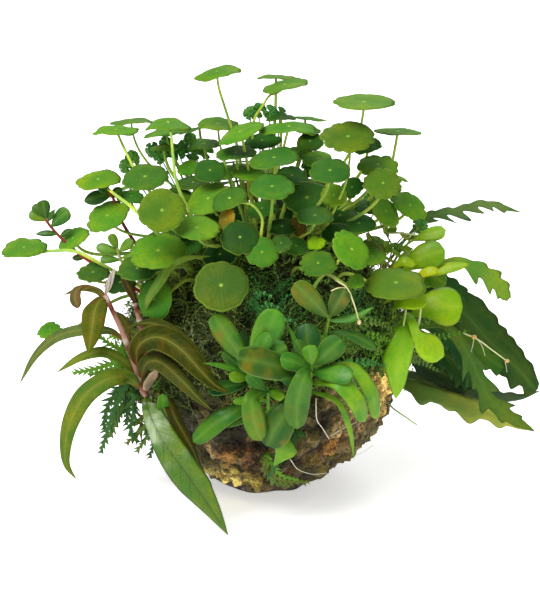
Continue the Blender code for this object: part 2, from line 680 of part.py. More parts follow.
def make_bronze_stems(on_ground):
    """Two stems, and for each the middle line that its leaves start from."""
    routes = {}
    for name, spots in BRONZE_STEMS:
        shape = bmesh.new()
        routes[name] = rooted_route(spots, on_ground, STEM_STEPS)
        make_stem(shape, routes[name], STEM_RADIUS, STEM_SIDES)
        add_object(name, shape, "pink_stem")
    return routes


def build():
    for old in list(bpy.data.objects):
        bpy.data.objects.remove(old)
    grid = ball_grid()
    ground = [make_ball(grid), make_moss(grid)]
    on_ground = ground_finder(ground)
    make_pennywort(on_ground)
    stems = make_bronze_stems(on_ground)
    for blade in BLADES:
        make_blade(blade, on_ground, stems)
    for name, stem, leaves in SPRIGS:
        make_sprig(name, stem, leaves, on_ground)


build()
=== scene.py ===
# %% [markdown]
# # Aquarium plant ball
# A fist-sized lump of wet substrate is grown over with moss and carries five kinds of water plant: round
# pennywort leaves on thin stalks, bronze willow leaves, lobed fronds, lime leaves and small green rosettes.
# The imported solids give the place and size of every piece. This lesson grows the living surface over them.

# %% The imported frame
import math
import random
from collections import namedtuple

import bpy
from mathutils import Matrix, Vector, noise
from mathutils.bvhtree import BVHTree


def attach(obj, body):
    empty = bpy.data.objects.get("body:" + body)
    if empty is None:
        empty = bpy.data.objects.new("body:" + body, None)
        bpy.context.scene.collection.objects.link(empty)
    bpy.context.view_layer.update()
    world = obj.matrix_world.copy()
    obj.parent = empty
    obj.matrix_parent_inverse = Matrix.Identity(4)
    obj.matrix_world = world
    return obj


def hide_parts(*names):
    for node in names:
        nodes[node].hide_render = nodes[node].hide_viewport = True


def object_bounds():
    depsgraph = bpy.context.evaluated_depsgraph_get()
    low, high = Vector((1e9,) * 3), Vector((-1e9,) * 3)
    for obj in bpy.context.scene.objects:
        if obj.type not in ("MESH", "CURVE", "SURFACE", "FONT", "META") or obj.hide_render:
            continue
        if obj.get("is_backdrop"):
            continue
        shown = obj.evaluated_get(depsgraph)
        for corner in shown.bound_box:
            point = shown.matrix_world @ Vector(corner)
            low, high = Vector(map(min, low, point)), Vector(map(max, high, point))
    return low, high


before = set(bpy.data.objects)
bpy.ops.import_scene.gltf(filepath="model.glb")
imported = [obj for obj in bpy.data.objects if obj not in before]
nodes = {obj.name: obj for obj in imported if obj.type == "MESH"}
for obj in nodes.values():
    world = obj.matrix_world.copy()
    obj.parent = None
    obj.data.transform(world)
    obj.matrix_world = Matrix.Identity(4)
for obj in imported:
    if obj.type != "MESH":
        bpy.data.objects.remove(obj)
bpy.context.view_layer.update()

MM = 0.001

# %% [markdown]
# ## Where the eye stands
# The photograph gives each leaf a pixel, a width and a height. With the real size of a pixel and the place of
# the eye, a pixel becomes a line of sight. One more value, how far the leaf stands toward the viewer, makes it
# a point. The stalk then always runs down to the moss, so the leaf is carried from whichever side it is seen.

# %% From a pixel to a point
BALL_CENTRE = Vector((0.0, 0.0, 50.0))
MM_PER_PIXEL = 0.4
MIDDLE_PX, MIDDLE_PY = 270.0, 300.0
LOOK_AT = Vector((2.0, 0.0, 75.0))
EYE_DISTANCE = 1000.0
EYE_RISE = math.radians(18.0)
TO_EYE = Vector((0.0, -math.cos(EYE_RISE), math.sin(EYE_RISE)))
PICTURE_UP = Vector((0.0, math.sin(EYE_RISE), math.cos(EYE_RISE)))
PICTURE_RIGHT = Vector((1.0, 0.0, 0.0))


def seen_at(px, py, toward):
    """The point in millimetres seen at a pixel, when it is known how far it stands toward the viewer."""
    up = (MIDDLE_PY - py) * MM_PER_PIXEL
    cosine, sine = math.cos(EYE_RISE), math.sin(EYE_RISE)
    rise = up * (EYE_DISTANCE - toward * cosine) + EYE_DISTANCE * toward * sine
    rise /= EYE_DISTANCE * cosine + up * sine
    depth = toward * cosine + rise * sine
    across = (px - MIDDLE_PX) * MM_PER_PIXEL * (EYE_DISTANCE - depth) / EYE_DISTANCE
    return Vector((LOOK_AT.x + across, -toward, LOOK_AT.z + rise))


def width_at(pixels, point):
    """A width in pixels as millimetres, at a point's distance from the eye."""
    return pixels * MM_PER_PIXEL * (EYE_DISTANCE - (point - LOOK_AT).dot(TO_EYE)) / EYE_DISTANCE


def way_of(face):
    """A facing written as right, toward the viewer, up."""
    right, toward, up = face
    return Vector((right, -toward, up)).normalized()


def way_to(point):
    """The way from the ball's centre to a point."""
    return (point - BALL_CENTRE).normalized()


def tree_of(node_name):
    mesh = nodes[node_name].data
    points = [v.co / MM for v in mesh.vertices]
    return BVHTree.FromPolygons(points, [p.vertices[:] for p in mesh.polygons])


ground_trees = [tree_of("substrate_ball"), tree_of("moss_mat")]


def on_ground(way):
    """Where a line to the ball's centre first meets the moss or the substrate."""
    hits = [tree.ray_cast(BALL_CENTRE + way * 200.0, -way)[0] for tree in ground_trees]
    return max((hit for hit in hits if hit), key=lambda hit: (hit - BALL_CENTRE).dot(way))


print("a pennywort leaf 50 pixels wide is", round(width_at(50, LOOK_AT), 1), "mm across")

# %% [markdown]
# ## Smooth lines
# Stems, leaf midribs and stalks all follow a line. A curve that passes through a few chosen points, with its
# knots spaced by the root of the distances, doesn't loop where two points are close together.


# %% A smooth line through points
FINE_STEPS = 12


def span_point(four, knots, t):
    a, b, c, d = four
    ta, tb, tc, td = knots
    ab = a.lerp(b, (t - ta) / (tb - ta))
    bc = b.lerp(c, (t - tb) / (tc - tb))
    cd = c.lerp(d, (t - tc) / (td - tc))
    abc = ab.lerp(bc, (t - ta) / (tc - ta))
    bcd = bc.lerp(cd, (t - tb) / (td - tb))
    return abc.lerp(bcd, (t - tb) / (tc - tb))


def point_along(route, share):
    lengths = [(b - a).length for a, b in zip(route, route[1:])]
    left = share * sum(lengths)
    for a, b, length in zip(route, route[1:], lengths):
        if left <= length:
            return a.lerp(b, left / length)
        left -= length
    return route[-1].copy()


def smooth_route(points, count):
    """Points at equal distances along a smooth curve through the given ones."""
    ends = [points[0] * 2 - points[1]] + list(points) + [points[-1] * 2 - points[-2]]
    knots = [0.0]
    for a, b in zip(ends, ends[1:]):
        knots.append(knots[-1] + math.sqrt(max((b - a).length, 1e-6)))
    fine = []
    for span in range(len(points) - 1):
        four, marks = ends[span:span + 4], knots[span:span + 4]
        for step in range(FINE_STEPS):
            fine.append(span_point(four, marks, marks[1] + (marks[2] - marks[1]) * step / FINE_STEPS))
    fine.append(points[-1].copy())
    return [point_along(fine, step / count) for step in range(count + 1)]


print("a line through 3 points has", len(smooth_route([Vector((0, 0, z)) for z in (0, 1, 2)], 8)), "points")

# %% [markdown]
# ## Growing a mesh
# A leaf cut from a flat sheet would be open at its rim. Here every blade is a row of closed loops, one across
# each step of the midrib, joined and capped, so the leaf has a top, an underside and a rim. Each vertex keeps
# two notes for its colour: its place on the leaf, and the tint of the leaf.

# %% A mesh that remembers its place on the leaf
def put_in_scene(name, data):
    made = bpy.data.objects.new(name, data)
    bpy.context.scene.collection.objects.link(made)
    return made


def clamp(value):
    return max(0.0, min(1.0, value))


# The fourth number says how much of its plant's blush a leaf shows; on the green willow leaf that blush is a
# painted silvery sheen
Tint = namedtuple("Tint", "red green blue blush", defaults=(1.0,))


class Growth:
    """Loops of points in millimetres, joined one to the next, with the notes that the materials read."""

    def __init__(self):
        self.points, self.faces, self.leaf, self.tint = [], [], [], []

    def loop(self, points, leaf, tint):
        """Add points with their notes. The tint is one for all, or a list of one for each."""
        first = len(self.points)
        self.points += [p * MM for p in points]
        self.leaf += leaf
        self.tint += tint if isinstance(tint, list) else [tuple(tint)] * len(points)
        return list(range(first, first + len(points)))

    def bridge(self, a, b):
        for k in range(len(a)):
            m = (k + 1) % len(a)
            self.faces.append((a[k], a[m], b[m], b[k]))

    def fan(self, loop, point, tint, upward):
        """Close a round net with triangles to one last point."""
        pole = self.loop([point], [(0.0, 0.0, 0.0)], tint)[0]
        for a, b in zip(loop, loop[1:] + loop[:1]):
            self.faces.append((a, b, pole) if upward else (b, a, pole))

    def cap(self, loop, last):
        self.faces.append(tuple(loop) if last else tuple(reversed(loop)))

    def skin(self, loops):
        """Join each loop to the next and close both ends."""
        self.cap(loops[0], False)
        for a, b in zip(loops, loops[1:]):
            self.bridge(a, b)
        self.cap(loops[-1], True)

    def make(self, name, material):
        mesh = bpy.data.meshes.new(name)
        mesh.from_pydata(self.points, [], self.faces)
        note = mesh.attributes.new("leaf", "FLOAT_VECTOR", "POINT")
        note.data.foreach_set("vector", [x for row in self.leaf for x in row])
        tint = mesh.attributes.new("tint", "FLOAT_COLOR", "POINT")
        tint.data.foreach_set("color", [x for row in self.tint for x in row])
        mesh.shade_smooth()
        mesh.materials.append(material)
        return put_in_scene(name, mesh)


def mixed(a, b, share):
    return Tint(*(x + (y - x) * share for x, y in zip(a, b)))


def run_of(route, step):
    """The way in which a line runs at one of its points."""
    return (route[min(step + 1, len(route) - 1)] - route[max(step - 1, 0)]).normalized()


def add_tube(growth, route, radius_at, sides, tint):
    """A tube with closed ends. radius_at gives the radius at a share of the length."""
    count = len(route) - 1
    side = run_of(route, 0).orthogonal().normalized()
    loops = []
    for step, point in enumerate(route):
        along = run_of(route, step)
        side = (side - along * side.dot(along)).normalized()
        other = along.cross(side)
        radius = radius_at(step / count)
        turns = [math.tau * k / sides for k in range(sides)]
        ring = [point + (side * math.cos(a) + other * math.sin(a)) * radius for a in turns]
        loops.append(growth.loop(ring, [(step / count, 0.0, 0.0)] * sides, tint))
    growth.skin(loops)


# The last number says how soon the tint of the stalk gives way to the tint of the blade
Form = namedtuple("Form", "fold curl wave waves thick dip rake columns turn",
                  defaults=(0.2, 0.15, 0.05, 3.0, 0.34, 0.1, 0.0, 8, 9.0))


def add_blade(growth, route, halves, face, tint, stalk_tint, form, phase=0.0):
    """A closed leaf along its midrib. halves gives the half widths to the left and the right at each step."""
    count = len(route) - 1
    across = [-1 + 2 * k / form.columns for k in range(form.columns + 1)]
    loops = []
    for step, point in enumerate(route):
        t = step / count
        along = run_of(route, step)
        side = along.cross(face).normalized()
        up = side.cross(along)
        spots, notes = [], []
        for over in (1, -1):
            row = across if over == 1 else list(reversed(across))[1:-1]
            for s in row:
                half = max(halves[step][0 if s < 0 else 1], 0.04)
                lift = form.fold * half * abs(s) - form.curl * half * s * s
                ripple = math.sin(math.tau * form.waves * t + phase + (2.1 if s > 0 else 0.0))
                lift += form.wave * half * s * s * ripple * min(1.0, 4 * t) * min(1.0, 4 * (1 - t))
                lift -= form.dip * math.exp(-(s / 0.14) ** 2) * min(1.0, half / 2)
                thick = form.thick * (0.25 + 0.75 * (1 - s ** 4)) * (1.0 if half > 0.5 else 0.4 + half * 1.2)
                spots.append(point + side * (s * half) + up * (lift + over * thick / 2)
                             + along * (form.rake * half * abs(s)))
                notes.append((t, s, float(over)))
        loops.append(growth.loop(spots, notes, mixed(stalk_tint, tint, min(1.0, t * form.turn))))
    growth.skin(loops)


# %% [markdown]
# ## Leaf outlines
# The width of a leaf from base to tip is a rule too: a power of the way from the base times a power of the way
# to the tip. Two exponents tell a willow leaf from a spoon. Leaves with an outline of their own have a short
# table instead, with the half widths in pixels at a few shares of the length.

# %% Outlines from base to tip
SHAPES = {"willow": (0.75, 0.95), "spoon": (0.95, 0.42), "egg": (0.8, 0.7), "disc": (1.2, 0.45)}


def outline(shape, count, wide, stalk=1.1, ragged=0.0, seed=0.0, bare=0.0):
    """Left and right half widths at each step of a plain leaf, whose first part may be bare stalk."""
    base, tip = SHAPES[shape]
    top = (base / (base + tip)) ** base * (tip / (base + tip)) ** tip
    halves = []
    for step in range(count + 1):
        t = max(0.0, (step / count - bare) / (1 - bare))
        body = wide * t ** base * (1 - t) ** tip / top
        half = 0.5 * max(body, stalk * min(1.0, 3.0 * (1 - t)))
        pair = [half * (1 + ragged * noise.noise(Vector((t * 9, k * 5.0, seed)))) for k in (0, 1)]
        halves.append(pair)
    return halves


def between(rows, t, column):
    """A value between the rows of a short table whose first column is a share of the length."""
    for low, high in zip(rows, rows[1:]):
        if t <= high[0]:
            share = (t - low[0]) / (high[0] - low[0])
            return low[column] + (high[column] - low[column]) * share
    return rows[-1][column]


def halves_in_pixels(rows, steps):
    """Half widths on both sides from a table of them in pixels."""
    return [[between(rows, step / steps, 1) * MM_PER_PIXEL, between(rows, step / steps, 2) * MM_PER_PIXEL]
            for step in range(steps + 1)]


print("widest step of a willow leaf:", max(range(21), key=lambda k: outline("willow", 20, 10)[k][0]))

# %% [markdown]
# ## Building node trees
# Materials and Geometry Nodes are both trees of nodes. Short helpers add a node with its inputs in one line,
# so that a tree reads from top to bottom like the recipe it is.


# %% Helpers for node trees
def node(tree, kind, inputs=None, **settings):
    """Add a node, set its options, and link or set its inputs by name or number."""
    made = tree.nodes.new(kind)
    for key, value in settings.items():
        setattr(made, key, value)
    for key, value in (inputs or {}).items():
        socket = made.inputs[key]
        if isinstance(value, bpy.types.NodeSocket):
            tree.links.new(value, socket)
        else:
            socket.default_value = value
    return made


def wire(tree, kind, inputs=None, **settings):
    """Add a node and give its first output."""
    return node(tree, kind, inputs, **settings).outputs[0]


def tree_under(*values):
    """The tree that the first socket among the values belongs to."""
    return next(v for v in values if isinstance(v, bpy.types.NodeSocket)).id_data


def calc(operation, a, b=0.0):
    """One step of arithmetic on numbers or sockets."""
    return wire(tree_under(a, b), "ShaderNodeMath", {0: a, 1: b}, operation=operation)


def times(first, *others):
    for other in others:
        first = calc("MULTIPLY", first, other)
    return first


def plus(first, *others):
    for other in others:
        first = calc("ADD", first, other)
    return first


def minus(a, b):
    return calc("SUBTRACT", a, b)


def ease(value, low, high, start=0.0, end=1.0):
    """A smooth step of a value from one level to another."""
    return wire(value.id_data, "ShaderNodeMapRange",
                {"Value": value, "From Min": low, "From Max": high, "To Min": start, "To Max": end},
                interpolation_type="SMOOTHSTEP")


def blend_colours(share, a, b, mode="MIX"):
    """A mix of two colours, each a socket or three numbers."""
    a, b = [v if isinstance(v, bpy.types.NodeSocket) else (*v[:3], 1.0) for v in (a, b)]
    mix = node(tree_under(share, a, b), "ShaderNodeMix", {0: share, 6: a, 7: b}, data_type="RGBA", blend_type=mode)
    return mix.outputs[2]


def noise_value(where, scale, detail=2.0, roughness=0.5):
    return wire(where.id_data, "ShaderNodeTexNoise",
                {"Vector": where, "Scale": scale, "Detail": detail, "Roughness": roughness})


def surface(tree, colour, roughness, gloss, height, strength, distance, shine=0.0, shine_roughness=0.15):
    """A Principled surface with its relief. Gloss and shine stay plain values on their sockets."""
    bump = wire(tree, "ShaderNodeBump", {"Height": height, "Strength": strength, "Distance": distance})
    skin = node(tree, "ShaderNodeBsdfPrincipled", {"Base Color": colour, "Roughness": roughness, "Normal": bump})
    skin.inputs["Specular IOR Level"].default_value = gloss
    skin.inputs["Coat Weight"].default_value = shine
    skin.inputs["Coat Roughness"].default_value = shine_roughness
    return skin.outputs[0]


def start_material(name):
    """An empty material and its tree."""
    made = bpy.data.materials.new(name)
    made.use_nodes = True
    made.node_tree.nodes.clear()
    return made, made.node_tree


# %% [markdown]
# ## What a leaf's skin shows
# A leaf isn't one green. Its veins are paler, a thin line of painted light runs along its rim, cooler and deeper
# patches drift over it, and light shines through from behind. The tint of each leaf is a note in its mesh, so one
# material serves all leaves of a kind. The veins are drawn from the other note, the place on the leaf.

# %% The skin of round and long leaves
GREENS = {
    "fresh": Tint(0.117, 0.266, 0.016, 0.3), "warm": Tint(0.142, 0.272, 0.016, 0.3),
    "ochre": Tint(0.122, 0.205, 0.012, 0.3), "bright": Tint(0.159, 0.316, 0.018, 0.2),
    "olive": Tint(0.098, 0.169, 0.012, 0.3), "green": Tint(0.063, 0.175, 0.016, 0.25),
    "cool": Tint(0.05, 0.13, 0.015, 0.3), "deep": Tint(0.041, 0.127, 0.013, 0.3),
    "dark": Tint(0.023, 0.076, 0.011, 0.2), "pale": Tint(0.115, 0.23, 0.022, 0.2), "lime": Tint(0.2, 0.34, 0.006),
    "dying": Tint(0.3, 0.19, 0.015, 0.3), "dull": Tint(0.082, 0.122, 0.013, 0.45),
    "petiole": Tint(0.44, 0.57, 0.085), "rusty": Tint(0.15, 0.08, 0.014, 0.3),
}


MAIN_VEINS, FINE_VEINS = 17, 34


def round_pattern(x, y):
    """Veins from the middle of a round leaf, its pale middle spot, and a thin line of painted light at its rim."""
    reach = calc("SQRT", plus(times(x, x), times(y, y)))
    turn = calc("ARCTAN2", y, x)
    lines = []
    for count, wide in ((MAIN_VEINS, 0.022), (FINE_VEINS, 0.014)):
        off = calc("ABSOLUTE", calc("SINE", times(turn, count / 2)))
        off = times(off, times(reach, 2.0 / count))
        lines.append(ease(off, wide, 0.0))
    veins = calc("MAXIMUM", lines[0], times(lines[1], ease(reach, 0.45, 0.62)))
    # The rim mask is a painted highlight: a thin bright line of light along the edge.
    spot, halo, rim = ease(reach, 0.095, 0.035), ease(reach, 0.75, 0.15), ease(reach, 0.915, 0.955)
    return times(veins, ease(reach, 1.0, 0.7)), spot, halo, rim


def long_pattern(t, s, pairs):
    """A midrib, side veins that lean toward the tip, and a thin line of painted light at the rim, for a leaf that
    is longer than wide.
    """
    from_middle = calc("ABSOLUTE", s)
    lean = minus(times(t, pairs), times(from_middle, 1.5))
    off = calc("ABSOLUTE", minus(calc("FRACT", lean), 0.5))
    veins = times(ease(off, 0.12, 0.0), ease(from_middle, 1.0, 0.5))
    midrib = ease(from_middle, 0.075, 0.02)
    halo = ease(from_middle, 0.45, 0.0)
    # The rim mask is a painted highlight: a thin bright line of light along the edge.
    rim = ease(from_middle, 0.87, 0.95)
    return times(veins, 0.55), midrib, halo, rim


def leaf_skin(name, kind, vein_colour, *, vein_gain, spot_gain, rim_light_gain, roughness, gloss, through, shine=0.0,
              deep_gain=0.75, blush=None, blush_and_sheen_from=0.5, blush_and_sheen_along=(0.85, 0.35), pairs=9, patch=70.0,
              relief=0.6):
    """A leaf material. kind is round or long."""
    made, tree = start_material(name)
    where = node(tree, "ShaderNodeTexCoord").outputs["Object"]
    place = node(tree, "ShaderNodeAttribute", attribute_name="leaf").outputs["Vector"]
    tint_note = node(tree, "ShaderNodeAttribute", attribute_name="tint")
    tint, alpha = tint_note.outputs["Color"], tint_note.outputs["Alpha"]
    parts = node(tree, "ShaderNodeSeparateXYZ", {0: place})
    x, y, over = parts.outputs
    veins, spot, halo, rim = round_pattern(x, y) if kind == "round" else long_pattern(x, y, pairs)
    on_blade = ease(calc("ABSOLUTE", over), 0.3, 0.7)
    broad = noise_value(where, patch, 1.5)
    fine = noise_value(where, 900.0, 3.0, 0.6)
    middle = noise_value(where, 380.0, 2.0, 0.6)
    deep = blend_colours(1.0, tint, (0.42, 0.74, 0.95), "MULTIPLY")
    warm = blend_colours(1.0, tint, (1.45, 1.16, 0.7), "MULTIPLY")
    colour = blend_colours(ease(broad, 0.45, 0.68, 0.0, deep_gain), tint, deep)
    colour = blend_colours(ease(broad, 0.50, 0.28, 0.0, 0.85), colour, warm)
    colour = blend_colours(ease(middle, 0.47, 0.66, 0.0, 0.35), colour, deep)
    colour = blend_colours(ease(fine, 0.38, 0.70, 0.0, 0.38), colour, deep)
    # On bronze and rosette leaves the blush is their own colour. On the green willow leaf the same blotches paint a
    # silvery sheen into the base colour: a painted highlight.
    if blush:
        blotch = noise_value(where, 110.0, 2.0)
        share = times(ease(blotch, blush_and_sheen_from, blush_and_sheen_from + 0.2), ease(x, *blush_and_sheen_along), alpha)
        colour = blend_colours(times(share, on_blade), colour, blush)
    # A round leaf is deeper in tone about its middle, a long one paler along its midrib
    halo_colour = deep if kind == "round" else blend_colours(0.55, tint, vein_colour)
    colour = blend_colours(times(halo, 0.35, on_blade), colour, halo_colour)
    if kind == "round":
        veins = times(veins, alpha)
    # Veins and spot are the leaf's own paler colour. The rim share paints a thin line of light along the edge.
    for mask, gain in ((veins, vein_gain), (rim, rim_light_gain), (spot, spot_gain)):
        share = times(mask, gain)
        if mask is not rim:
            share = times(share, on_blade)
        colour = blend_colours(share, colour, vein_colour)
    under = ease(over, 0.0, -0.5)
    pale = blend_colours(0.35, colour, (0.15, 0.24, 0.07))
    colour = blend_colours(under, colour, pale)
    height = plus(times(veins, -relief), times(fine, 1.2 * relief), times(broad, 2.0))
    rough = ease(fine, 0.3, 0.8, roughness - 0.08, roughness + 0.14)
    skin = surface(tree, colour, rough, gloss, height, 0.45, 0.0003, shine, 0.22)
    glow_colour = blend_colours(1.0, colour, (1.5, 1.35, 0.6), "MULTIPLY")
    glow = node(tree, "ShaderNodeBsdfTranslucent", {"Color": glow_colour})
    both = node(tree, "ShaderNodeMixShader", {0: through, 1: skin, 2: glow.outputs[0]})
    node(tree, "ShaderNodeOutputMaterial", {0: both.outputs[0]})
    return made


PALE_VEIN = Tint(0.25, 0.40, 0.045)
round_skin = leaf_skin("pennywort_leaf_skin", "round", PALE_VEIN, vein_gain=0.22, spot_gain=0.9, rim_light_gain=0.55,
                       deep_gain=0.6, gloss=0.03, roughness=0.5, through=0.16, patch=95.0)
bronze_skin = leaf_skin("bronze_leaf_skin", "long", Tint(0.24, 0.24, 0.04), vein_gain=0.15, spot_gain=0.34,
                        rim_light_gain=0.55, blush=Tint(0.10, 0.040, 0.006), blush_and_sheen_from=0.56,
                        gloss=0.03, roughness=0.5, pairs=13, through=0.10, patch=120.0)
# The blush of the green willow leaf is a painted highlight: a silvery sheen in blotches toward its base.
willow_skin = leaf_skin("green_willow_skin", "long", Tint(0.030, 0.075, 0.010), vein_gain=0.2, spot_gain=0.7,
                        rim_light_gain=0.25, blush=Tint(0.28, 0.36, 0.20), blush_and_sheen_from=0.46, blush_and_sheen_along=(0.66, 0.34),
                        shine=0.16, gloss=0.2, roughness=0.34, pairs=14, through=0.08, patch=120.0, relief=3.0)
lobed_skin = leaf_skin("lobed_leaf_skin", "long", Tint(0.12, 0.22, 0.03), vein_gain=0.12, spot_gain=0.2,
                       rim_light_gain=0.2, gloss=0.08, roughness=0.5, pairs=5, through=0.16)
lime_skin = leaf_skin("lime_leaf_skin", "long", Tint(0.36, 0.48, 0.04), vein_gain=0.08, spot_gain=0.1,
                      rim_light_gain=0.2, deep_gain=0.4, shine=0.12, gloss=0.12, roughness=0.34, pairs=5, through=0.24)
rosette_skin = leaf_skin("rosette_leaf_skin", "long", Tint(0.19, 0.36, 0.05), vein_gain=0.05, spot_gain=0.12,
                         rim_light_gain=0.6, blush=Tint(0.17, 0.145, 0.005), blush_and_sheen_from=0.45,
                         blush_and_sheen_along=(0.45, 0.72), shine=0.10, gloss=0.14, roughness=0.38, pairs=6, through=0.18,
                         patch=130.0, deep_gain=0.9)
print("leaf skins:", [m.name for m in bpy.data.materials if m.name.endswith("_skin")])

# %% [markdown]
# ## Stems, roots, moss and substrate
# The bronze stems are pink with dark red stretches and fine pale hairs. Moss is almost black where it is deep,
# which on the bed under the strands is painted shade, and olive or blue-green at the tips. The substrate is a wet
# crust of clay grains: brown and olive, with tan chips, pale mineral specks and glints of water, so its roughness
# changes as much as its colour. Painted shade darkens its pits and low grains, and painted light brightens its
# raised ones.


# %% The other materials
def plain_skin(name, colours, scale, roughness, gloss, bump=0.4, distance=0.0002, note=0.0):
    """A material that drifts between colours, and takes on the mesh's tint by the share note."""
    made, tree = start_material(name)
    where = node(tree, "ShaderNodeTexCoord").outputs["Object"]
    drift = noise_value(where, scale, 3.0, 0.6)
    colour = colours[0]
    for k, level in enumerate(colours[1:]):
        low = 0.36 + 0.14 * k
        colour = blend_colours(ease(drift, low, low + 0.12), colour, level)
    if note:
        tint = node(tree, "ShaderNodeAttribute", attribute_name="tint").outputs["Color"]
        colour = blend_colours(note, colour, tint)
    fine = noise_value(where, scale * 7, 2.0)
    rough = ease(fine, 0.3, 0.7, roughness - 0.1, roughness + 0.1)
    node(tree, "ShaderNodeOutputMaterial", {0: surface(tree, colour, rough, gloss, fine, bump, distance)})
    return made


stem_skin = plain_skin("pink_stem_skin", (Tint(0.20, 0.03, 0.015), Tint(0.42, 0.13, 0.09), Tint(0.52, 0.25, 0.17)),
                       160.0, 0.45, 0.12, note=0.85)
# The moss bed's near-black colours are painted shade, the shade deep among the strands.
moss_bed_shade_skin = plain_skin("moss_bed_shade_skin", (Tint(0.006, 0.010, 0.003), Tint(0.020, 0.026, 0.007),
                                             Tint(0.048, 0.056, 0.014)), 260.0, 0.8, 0.08, bump=0.9,
                           distance=0.001)
moss_strand_skin = plain_skin("moss_strand_skin", (Tint(0.010, 0.018, 0.005), Tint(0.03, 0.05, 0.01),
                                                   Tint(0.07, 0.095, 0.02)), 140.0, 0.6, 0.12, note=0.85)
root_skin = plain_skin("root_skin", (Tint(0.40, 0.34, 0.18), Tint(0.60, 0.56, 0.38), Tint(0.72, 0.70, 0.56)),
                       300.0, 0.5, 0.12, note=0.8)


def crust_skin(name):
    """Wet clay grains: brown ground, olive film, tan chips, pale specks and patches of water, with painted shade in
    the pits and low grains and painted light on the raised ones.
    """
    made, tree = start_material(name)
    where = node(tree, "ShaderNodeTexCoord").outputs["Object"]
    tint = node(tree, "ShaderNodeAttribute", attribute_name="tint").outputs["Color"]
    broad = noise_value(where, 55.0, 3.0, 0.6)
    middle = noise_value(where, 260.0, 5.0, 0.7)
    speck = noise_value(where, 1200.0, 2.0, 0.7)
    grain = node(tree, "ShaderNodeTexVoronoi", {"Vector": where, "Scale": 520.0, "Randomness": 1.0})
    chips = node(tree, "ShaderNodeTexVoronoi", {"Vector": where, "Scale": 300.0, "Randomness": 1.0})
    chip_pick = wire(tree, "ShaderNodeSeparateXYZ", {0: chips.outputs["Color"]})
    relief = node(tree, "ShaderNodeAttribute", attribute_name="leaf").outputs["Vector"]
    relief = wire(tree, "ShaderNodeSeparateXYZ", {0: relief})
    # Painted light and shade: the relief note makes raised grains lighter and low ones darker. The middle noise and
    # the specks add random tone.
    painted_height_light_and_tone = plus(ease(relief, -2.6, 2.6, 0.05, 0.7), ease(middle, 0.36, 0.64, -0.25, 0.4),
                  ease(speck, 0.36, 0.64, -0.17, 0.20))
    painted_light_ramp = blend_colours(ease(painted_height_light_and_tone, 0.05, 0.85), (0.42, 0.33, 0.18), (2.5, 2.35, 1.7))
    colour = blend_colours(1.0, tint, painted_light_ramp, "MULTIPLY")
    colour = blend_colours(ease(broad, 0.54, 0.64, 0.0, 0.6), colour, (0.060, 0.058, 0.008))
    colour = blend_colours(ease(chip_pick, 0.88, 0.93, 0.0, 0.5), colour, (0.34, 0.24, 0.08))
    # Painted shade: the low places of the relief, and patches where the middle noise is low, are darkened toward
    # black.
    painted_pit_shade = calc("MAXIMUM", ease(middle, 0.40, 0.32), ease(relief, -1.6, -3.4))
    colour = blend_colours(times(painted_pit_shade, 0.85), colour, (0.012, 0.008, 0.003))
    height = plus(times(middle, 1.6), times(speck, 0.5), times(grain.outputs["Distance"], -0.6))
    rough = ease(noise_value(where, 420.0, 2.0), 0.52, 0.60, 0.60, 0.08)
    node(tree, "ShaderNodeOutputMaterial", {0: surface(tree, colour, rough, 0.3, height, 1.0, 0.0022)})
    return made


substrate_skin = crust_skin("wet_substrate_skin")
print("materials so far:", len(bpy.data.materials))

# %% [markdown]
# ## Finishing a piece
# A finished piece rides on the body that carries it, and the solids it stands for are hidden. Which way its
# faces look is left as each mesh was made.


# %% One way to finish every piece
made_pieces = []


def finish_piece(piece, slot, *stands_for):
    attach(piece, "root")
    if stands_for:
        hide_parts(*stands_for)
    made_pieces.append(piece)
    return piece


def solid_of(name):
    """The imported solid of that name, if there is one, as a list."""
    return [name] if name in nodes else []


def triangles_of(piece):
    return sum(len(p.vertices) - 2 for p in piece.data.polygons)


# %% [markdown]
# ## The lump of substrate
# A planted ball starts as a fistful of clay grains and peat, pressed round and kept wet. Its form is an oval
# with two noises, the same as the solid's. Grains and pits are added in the mesh itself, because they show on the
# outline, and a few named patches set where the crust is tan, grey, yellow or nearly black.

# %% The shape of the lump
BALL_ACROSS, BALL_DEEP, BALL_UP = 53.5, 53.0, 51.5
FOOT_RADIUS = 19.5
LAST_RING_DEG = 150.0
BED_DEPTH = 2.6


def way_out(down_deg, round_deg):
    down, turn = math.radians(down_deg), math.radians(round_deg)
    return Vector((math.sin(down) * math.cos(turn), math.sin(down) * math.sin(turn), math.cos(down)))


def ball_reach(way):
    oval = 1.0 / math.sqrt((way.x / BALL_ACROSS) ** 2 + (way.y / BALL_DEEP) ** 2 + (way.z / BALL_UP) ** 2)
    return oval + 2.2 * noise.noise(way * 2.3) + 1.1 * noise.noise(way * 6.1 + Vector((3, 1, 7)))


def grains(way):
    """Lumps, grains and pits of the crust, in millimetres."""
    lump = noise.voronoi(way * 5.2)[0][0]
    near = noise.voronoi(way * 11.0 + Vector((2, 7, 1)))[0][0]
    small = noise.voronoi(way * 27.0)[0][0]
    rough = noise.fractal(way * 14.0, 0.8, 2.1, 4)
    pit = max(0.0, noise.noise(way * 8.0 + Vector((4, 4, 9))) - 0.18)
    ledge = abs(noise.noise(way * 6.5 + Vector((9, 2, 5))))
    return (4.0 * (0.40 - lump) + 2.8 * (0.40 - near) + 1.3 * (0.38 - small) + 1.1 * rough + 3.0 * (0.2 - ledge)
            - 5.0 * pit)


